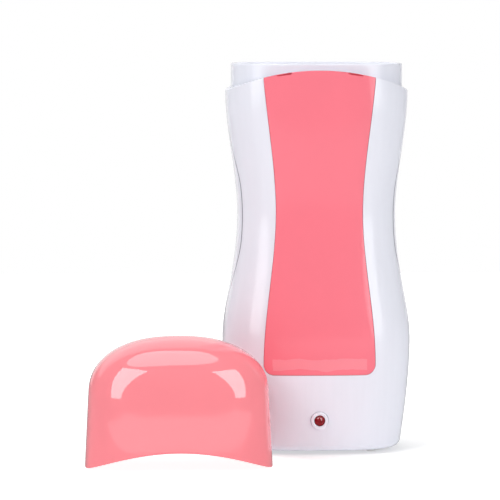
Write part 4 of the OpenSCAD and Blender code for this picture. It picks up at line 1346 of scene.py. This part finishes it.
def polished(name, tint, roughness, flow=0.06, specular=0.5, drawn=(1, 1, 1)):
    """Glossy moulded plastic: a faint ripple, a finer skin, and colour that may be drawn out a little."""
    finish = Finish.named(name)
    ripple = finish.noise(0.004)
    skin = finish.noise(0.0005)
    cloud = finish.noise(0.03, 3.0, 0.5, drawn)
    scuffs = finish.noise(0.009, 6.0, 0.7)
    return finish.shade(
        Base_Color=finish.tones(cloud, tint, 1 - flow / 2, 1 + flow / 2),
        Roughness=roughness + 0.03 * scuffs * scuffs,
        IOR=1.5,
        Specular_IOR_Level=specular,
        Normal=finish.bump(0.85 * ripple + 0.15 * skin, 0.000006),
    )


# Height over which the seam's painted shadow line fades in at its foot, and the distances below the sides'
# top edge between which it fades out
SEAM_FADE = 0.001
SEAM_TOP = (0.0006, 0.0002)
# Colour of the seam's line: painted shadow that stands in for the shade in the gap between the halves
PAINTED_SEAM_SHADOW = (0.55, 0.55, 0.6)
# The paler strip low on the panel, a painted reflection: its lower and upper edge above the panel's, its
# distance from the panel's sides, the softness of its edges and of its ends, how far its edge wanders and in
# what waves, its strength and its colour
STRIP_LOW, STRIP_HIGH = 0.0022, 0.0068
STRIP_SIDE = 0.0035
STRIP_SOFT, STRIP_END_SOFT = 0.0002, 0.0003
STRIP_WANDER, STRIP_WAVE = 0.004, 0.012
REFLECTION_STRIP_STRENGTH = 0.085
REFLECTION_STRIP_COLOUR = (1, 1, 1, 1)


def housing_white(name, colours):
    """White with upright flow lines, and a painted shadow line along the side seams, standing in for the
    shade in the gap.
    """
    finish = polished(name, colours.white, colours.gloss, 0.045, 0.17, drawn=(14, 14, 1))
    skin = Skin()
    y, z = finish.axis("Y"), finish.axis("Z")
    rise = finish.step(z, skin.bulge_z, mix(skin.bulge_z, skin.waist_z, SWEEP_SHARE))
    fall = finish.step(z, mix(skin.shoulder_z, skin.waist_z, SWEEP_SHARE), skin.shoulder_z)
    apart = abs(y + skin.seam_sweep * rise * (1 - fall))
    # Painted shadow: the base colour darkens along the seam, where the gap between the halves lies in shade
    line = 1 - finish.step(apart, skin.seam_line / 4, skin.seam_line / 2)
    low = skin.foot_z + skin.base_round
    top_fade = finish.step(z, *(skin.side_z - below for below in SEAM_TOP))
    line = line * finish.step(z, low, low + SEAM_FADE) * (1 - top_fade)
    return finish.over(line, linear(PAINTED_SEAM_SHADOW))


def panel_pink(name, colours):
    """Glossy, with a painted reflection low down: a slightly paler strip with a wandering edge."""
    finish = polished(name, colours.panel, colours.gloss, specular=0.17)
    panel = bpy.context.scene.warmer_panel
    wander = STRIP_WANDER * finish.noise(STRIP_WAVE, 3.0) - STRIP_WANDER / 2
    low, high = panel.low_z + STRIP_LOW, panel.low_z + STRIP_HIGH
    # Painted reflection: the base colour turns paler in this strip
    painted_reflection = finish.within(finish.axis("Z") + wander, low, high, STRIP_SOFT)
    end_x = panel.low_w / 2 - STRIP_SIDE
    past_end = finish.step(abs(finish.axis("X")) + wander, end_x - STRIP_END_SOFT, end_x + STRIP_END_SOFT)
    return finish.over(REFLECTION_STRIP_STRENGTH * (painted_reflection * (1 - past_end)), REFLECTION_STRIP_COLOUR)


def rubber(name, tint):
    finish = Finish.named(name)
    cloud = finish.noise(0.004, 3.0)
    return finish.shade(Base_Color=finish.tones(cloud, tint, 0.9, 1.05), Roughness=0.55 + 0.2 * cloud,
                        Normal=finish.bump(finish.noise(0.0003, 3.0), 0.00003))


def metal(name, tint, roughness, stretch=(1, 1, 1)):
    """Plain metal with a drawn or brushed grain along one direction."""
    finish = Finish.named(name)
    grain = finish.noise(0.0004, 4.0, 0.6, stretch)
    return finish.shade(Base_Color=finish.tones(finish.noise(0.006, 3.0), tint, 0.88, 1.04), Metallic=1.0,
                        Roughness=roughness + 0.15 * grain, Normal=finish.bump(grain, 0.000008))


def ceramic(name, tint):
    finish = Finish.named(name)
    speck = finish.noise(0.0006, 5.0, 0.7)
    return finish.shade(Base_Color=finish.tones(speck * finish.noise(0.005), tint, 0.82, 1.1),
                        Roughness=0.5 + 0.25 * speck, Normal=finish.bump(speck, 0.00002))


def laminate(name, tint):
    """Glass-cloth board under a green lacquer, with the weave just showing."""
    finish = Finish.named(name)
    warp, weft = (finish.node("ShaderNodeTexWave", {"bands_direction": letter},
                              {"Vector": finish.place, "Scale": 400.0, "Distortion": 0.6}) for letter in "XZ")
    weave = warp * weft
    return finish.shade(Base_Color=finish.tones(weave, tint, 0.85, 1.15), Roughness=0.3 + 0.1 * weave,
                        Normal=finish.bump(weave, 0.00001))


def film(name, tint):
    finish = Finish.named(name)
    ripple = finish.noise(0.002)
    return finish.shade(Base_Color=finish.tones(ripple, tint, 0.85, 1.1), Roughness=0.15 + 0.1 * ripple,
                        Normal=finish.bump(ripple, 0.00002))


def insulation(name, tint):
    """Soft plastic round a wire."""
    finish = Finish.named(name)
    grain = finish.noise(0.0006, 3.0)
    return finish.shade(Base_Color=finish.tones(grain, tint, 0.92, 1.06), Roughness=0.35 + 0.15 * grain,
                        Normal=finish.bump(grain, 0.00001))


def lens(name, tint):
    """Deep coloured plastic under a clear skin."""
    finish = Finish.named(name)
    ripple = finish.noise(0.001)
    return finish.shade(Base_Color=finish.tones(finish.noise(0.002), tint, 0.9, 1.15),
                        Roughness=0.08 + 0.04 * ripple, IOR=1.49, Specular_IOR_Level=0.4,
                        Coat_Weight=0.3, Coat_Roughness=0.03, Normal=finish.bump(ripple, 0.000006))


@cache
def finishes():
    """Every material, by its slot in the record."""
    colours = bpy.context.scene.warmer_finish
    makers = {
        "white_shell": (housing_white, colours),
        "pink_panel": (panel_pink, colours),
        "pink_cap": (polished, colours.cap, 0.2 * colours.gloss),
        "lamp_red": (lens, colours.lamp),
        "foot_rubber": (rubber, (0.93, 0.93, 0.92)),
        "steel": (metal, (0.78, 0.79, 0.8), 0.25),
        "heat_aluminium": (metal, (0.86, 0.87, 0.88), 0.3, (0.2, 1, 3)),
        "contact_brass": (metal, (0.82, 0.68, 0.42), 0.25, (3, 0.3, 3)),
        "board_laminate": (laminate, (0.16, 0.42, 0.24)),
        "heater_ceramic": (ceramic, (0.42, 0.40, 0.38)),
        "part_ceramic": (ceramic, (0.86, 0.83, 0.74)),
        "amber_film": (film, (0.82, 0.52, 0.16)),
        "black_plastic": (polished, (0.09, 0.09, 0.1), 0.32, 0.2),
        "brown_wire": (insulation, (0.40, 0.22, 0.12)),
        "blue_wire": (insulation, (0.16, 0.30, 0.66)),
        "red_wire": (insulation, (0.78, 0.12, 0.12)),
        "splice_nylon": (insulation, (0.88, 0.88, 0.83)),
    }
    return {slot: maker(slot, *rest).owner for slot, (maker, *rest) in makers.items()}


def paint(piece, slot):
    piece.data.materials.clear()
    piece.data.materials.append(finishes()[slot])


def dress(piece, slot, node, body="warmer"):
    """Gives a finished piece the material of its slot and its body, drops its inner points, and hides the
    node that it stands for.
    """
    if not piece.data.polygons:
        raise RuntimeError(f"{node} came out empty")
    paint(piece, slot)
    inner = piece.data.attributes.get("inner")
    if inner is not None:
        piece.data.attributes.remove(inner)
    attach(piece, body)
    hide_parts(node)


# Operators

# Nodes that are softened: their material, and the width of their rounded edges
SOFTENED = {
    "power_inlet": ("black_plastic", 0.0003),
    "heat_plate": ("heat_aluminium", 0.0003),
    "heater_element": ("heater_ceramic", 0.0003),
    "heater_clip": ("steel", 0.0001),
    "thermostat": ("black_plastic", 0.0002),
    "lamp_board": ("board_laminate", 0.0001),
}
# Nodes that keep their shape, and their material
PAINTED = {
    "insulation_sheet": "amber_film",
    "thermal_fuse": "part_ceramic",
    "inlet_pins": "contact_brass",
    "lamp_leads": "steel",
    "lamp_resistor": "part_ceramic",
    "lamp_diode": "black_plastic",
    "live_wire": "brown_wire",
    "fuse_wire": "brown_wire",
    "element_wire": "brown_wire",
    "neutral_wire": "blue_wire",
    "lamp_wires": "red_wire",
    "wire_splices": "splice_nylon",
}


class BuildHousing(bpy.types.Operator):
    """Builds the two halves of the housing"""
    bl_idname = "warmer.housing"
    bl_label = "Housing"

    def execute(self, context):
        dress(front_shell(), "white_shell", "front_shell")
        dress(rear_shell(), "white_shell", "rear_shell")
        return {"FINISHED"}


class BuildPanel(bpy.types.Operator):
    """Builds the front panel with its hook slots"""
    bl_idname = "warmer.panel"
    bl_label = "Front panel"

    def execute(self, context):
        dress(front_panel(), "pink_panel", "front_panel")
        return {"FINISHED"}


class BuildWell(bpy.types.Operator):
    """Builds the collar and the pocket for the cartridge"""
    bl_idname = "warmer.well"
    bl_label = "Collar and pocket"

    def execute(self, context):
        dress(cartridge_well(), "white_shell", "cartridge_well")
        return {"FINISHED"}


class BuildCap(bpy.types.Operator):
    """Builds the domed cap"""
    bl_idname = "warmer.cap"
    bl_label = "Cap"

    def execute(self, context):
        dress(cap_body(), "pink_cap", "cap", body="cap")
        return {"FINISHED"}


class BuildLamp(bpy.types.Operator):
    """Builds the pilot lamp and its ring"""
    bl_idname = "warmer.lamp"
    bl_label = "Pilot lamp"

    def execute(self, context):
        dress(pilot_lamp(), "lamp_red", "pilot_lamp")
        dress(lamp_bezel(), "white_shell", "lamp_bezel")
        return {"FINISHED"}


class BuildBase(bpy.types.Operator):
    """Builds the base plate and its feet"""
    bl_idname = "warmer.base"
    bl_label = "Base plate and feet"

    def execute(self, context):
        dress(softened("base_plate", 0.0003), "white_shell", "base_plate")
        dress(feet(), "foot_rubber", "feet")
        return {"FINISHED"}


class BuildScrews(bpy.types.Operator):
    """Builds every screw, with its cross recess and thread"""
    bl_idname = "warmer.screws"
    bl_label = "Screws"

    def execute(self, context):
        for node in SCREWS:
            dress(screws(node), "steel", node)
        return {"FINISHED"}


class BuildInsides(bpy.types.Operator):
    """Finishes the inlet, the heater, the lamp's board and the wires"""
    bl_idname = "warmer.insides"
    bl_label = "Inlet, heater and wires"

    def execute(self, context):
        for node, (slot, width) in SOFTENED.items():
            dress(softened(node, width), slot, node)
        for node, slot in PAINTED.items():
            paint(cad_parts[node], slot)
        return {"FINISHED"}


class BuildStage(bpy.types.Operator):
    """Builds the table, the lights, the background and the camera"""
    bl_idname = "warmer.stage"
    bl_label = "Stage"

    def execute(self, context):
        sizes = context.scene.warmer_stage
        build_table(sizes)
        build_world(context.scene, sizes)
        for light in LIGHTS:
            area_light(*light)
        build_camera(context.scene, sizes)
        return {"FINISHED"}


# Stage

# Name, middles of the lower and the upper edge, width, brightness, and whether it lights or shows in gloss
LIGHTS = (
    ("left_key", (-0.889, -1.008, 0.57), (-0.611, -0.693, 1.13), 0.70, 4.62, "matt"),
    ("right_key", (0.889, -1.008, 0.07), (0.611, -0.693, 0.63), 0.70, 3.05, "matt"),
    ("overhead", (-0.14, -0.41, 0.795), (-0.14, 0.19, 0.795), 0.60, 2.7, "matt"),
    ("left_softbox", (-1.10, -0.96, 0.01), (-0.35, -0.37, 0.70), 0.48, 7.4, "gloss"),
    ("right_softbox", (0.95, -1.03, 0.01), (0.27, -0.42, 0.68), 0.45, 7.4, "gloss"),
    ("overhead_softbox", (-0.14, -0.41, 0.79), (-0.14, 0.19, 0.79), 0.60, 3.8, "gloss"),
)
# The point that every light faces
LIT_POINT = Vector((0, 0, 0.07))
# Width of the camera's sensor in millimetres
SENSOR_W = 36
# Along Y, where the table's front turns bright in reflections
TABLE_FRONT = (-0.32, -0.30)
# Where the shade on the table ends: in distance from the middle, and in half sizes of the cap from the cap's
SHADE_FAR = (0.14, 0.3)
SHADE_NEAR_CAP = (1.0, 1.6)
# Of the table's darkening, how much lies everywhere, and how much follows the shade
SHADE_EVEN, SHADE_FADING = 0.18, 0.82
# Reach of the contact shadow, and how hidden a place is where it is full
CONTACT_REACH = 0.05
CONTACT_FULL = 0.7
# Parts of a direction between which the background changes. Along Y: from behind the camera to the room
# beside the object, to the backdrop, and to the backdrop's middle. Along Z: from the horizon upwards
TO_ROOM = (-0.35, -0.25)
TO_BACKDROP = (0.42, 0.48)
TO_MIDDLE = (0.80, 0.95)
ABOVE_HORIZON = (0.25, 0.40)


def build_table(sizes):
    """A white table. The camera sees it brighter than the object does, and gloss sees its front edge."""
    alone()
    bpy.ops.mesh.primitive_plane_add(size=1, location=(0, (sizes.table_back - sizes.table_front) / 2, 0))
    table = bpy.context.object
    table.name = "table"
    table.scale = (2 * sizes.table_side, sizes.table_front + sizes.table_back, 1)
    settle(table)
    finish = Finish.named("table_white")
    camera, glossy = finish.ray("Camera"), finish.ray("Glossy")
    tint = finish.blend(finish.noise(0.002, 3.0), (0.84, 0.84, 0.84, 1), (0.86, 0.86, 0.86, 1))
    lifted = finish.blend(camera, tint, (sizes.table_lift,) * 3 + (1,))
    finish.shade(Base_Color=lifted, Roughness=0.6, Specular_IOR_Level=0.0)
    shade = table_shade(finish)
    open_sky = finish.node("ShaderNodeAmbientOcclusion", {"samples": 8}, {"Distance": CONTACT_REACH}, "AO")
    hidden = finish.step(1 - open_sky, 0.0, CONTACT_FULL)
    glare = 1 - (1 - sizes.glow) * (SHADE_EVEN + SHADE_FADING * shade) - sizes.contact * hidden * shade
    front = 1 - finish.step(finish.axis("Y"), *TABLE_FRONT)
    mirror = sizes.table_dim + (sizes.table_bright - sizes.table_dim) * front
    shown = camera * glare + glossy * mirror + sizes.uplight * finish.ray("Diffuse")
    glow = finish.node("ShaderNodeEmission", {}, {"Color": (1, 1, 1, 1), "Strength": shown})
    matt = Value(finish, finish.shader.outputs[0])
    both = finish.node("ShaderNodeAddShader", {}, {0: matt, 1: glow})
    mixed = finish.node("ShaderNodeMixShader", {}, {0: glossy, 1: both, 2: glow})
    finish.connect(finish.tree.nodes["Material Output"].inputs["Surface"], mixed)
    table.data.materials.append(finish.owner)


def table_shade(finish):
    """1 where the housing's shadow shows on the table, and 0 round the cap and far away."""
    low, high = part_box("cap")
    span = Vector((2 / (high.x - low.x), 2 / (high.y - low.y), 0))
    from_cap = finish.vector("MULTIPLY", finish.vector("SUBTRACT", finish.place, (low + high) / 2), span)
    past_cap = finish.vector("LENGTH", from_cap, output="Value")
    apart = finish.vector("LENGTH", finish.place, output="Value")
    return finish.step(past_cap, *SHADE_NEAR_CAP) * (1 - finish.step(apart, *SHADE_FAR))


def build_world(scene, sizes):
    """White for the camera. Gloss sees a dim room with a bright backdrop behind the object."""
    scene.world = bpy.data.worlds.new("studio")
    finish = Finish(scene.world, "Background", "Generated")
    back = finish.axis("Y")
    behind, straight = finish.step(back, *TO_BACKDROP), finish.step(back, *TO_MIDDLE)
    above = finish.step(finish.axis("Z"), *ABOVE_HORIZON)
    camera, mirror = finish.ray("Camera"), finish.ray("Glossy") + finish.ray("Transmission")
    reflected = (sizes.dim + (sizes.backdrop - sizes.dim) * behind * above
                 + (sizes.horizon - sizes.dim) * straight * (1 - above))
    lit = sizes.room * finish.step(back, *TO_ROOM) + (sizes.wall - sizes.room) * behind
    finish.shade(Color=(1, 1, 1, 1), Strength=camera + mirror * reflected + (1 - camera - mirror) * lit)


def area_light(name, low, high, width, radiance, kind):
    """A soft light between the middles of its lower and upper edges. It is round where it is level."""
    low, high = Vector(low), Vector(high)
    middle, up = (low + high) / 2, high - low
    across = up.cross(Vector((0, 0, 1)))
    back = across.cross(up).normalized()
    if back.dot(LIT_POINT - middle) > 0:
        across, back = -across, -back
    turn = Matrix((across.normalized(), up.normalized(), back)).transposed()
    is_level = abs(up.z) < WELD
    lamp = bpy.data.lights.new(name, "AREA")
    lamp.shape = "ELLIPSE" if is_level else "RECTANGLE"
    lamp.size, lamp.size_y = width, up.length
    lamp.energy = math.pi * width * up.length * (math.pi / 4 if is_level else 1) * radiance
    light = bpy.data.objects.new(name, lamp)
    bpy.context.scene.collection.objects.link(light)
    light.visible_camera = False
    light.visible_diffuse = kind == "matt"
    light.visible_glossy = kind == "gloss"
    light.matrix_world = Matrix.Translation(middle) @ turn.to_4x4()


def build_camera(scene, sizes):
    data = bpy.data.cameras.new("camera")
    data.lens, data.sensor_width = sizes.focal, SENSOR_W
    camera = bpy.data.objects.new("camera", data)
    scene.collection.objects.link(camera)
    turn = Matrix.Rotation(-sizes.camera_yaw, 4, "Z")
    camera.location = turn @ Vector((sizes.camera_aside, -sizes.camera_distance, sizes.camera_z))
    camera.rotation_euler = (QUARTER - sizes.camera_tilt, 0, -sizes.camera_yaw)
    scene.camera = camera
    scene.view_settings.view_transform = "Standard"


class WarmerPanel(bpy.types.Panel):
    """Lists the pieces and their settings"""
    bl_label = "Wax Warmer"
    bl_idname = "VIEW3D_PT_wax_warmer"
    bl_space_type = "VIEW_3D"
    bl_region_type = "UI"
    bl_category = "Wax Warmer"

    def draw(self, context):
        for operator in BUILDERS:
            self.layout.operator(operator.bl_idname)
        for name, group in GROUPS.items():
            box = self.layout.box()
            box.label(text=group.__name__)
            for key in group.__annotations__:
                box.prop(getattr(context.scene, name), key)


BUILDERS = (BuildHousing, BuildPanel, BuildWell, BuildCap, BuildLamp, BuildBase, BuildScrews,
            BuildInsides, BuildStage)
CLASSES = (*GROUPS.values(), *BUILDERS, WarmerPanel)


def register():
    for kind in CLASSES:
        bpy.utils.register_class(kind)
    for name, group in GROUPS.items():
        setattr(bpy.types.Scene, name, PointerProperty(type=group))


def unregister():
    for name in GROUPS:
        delattr(bpy.types.Scene, name)
    for kind in reversed(CLASSES):
        bpy.utils.unregister_class(kind)


def main():
    register()
    for operator in BUILDERS:
        getattr(bpy.ops.warmer, operator.bl_idname.split(".")[1])()


if __name__ == "__main__":
    main()
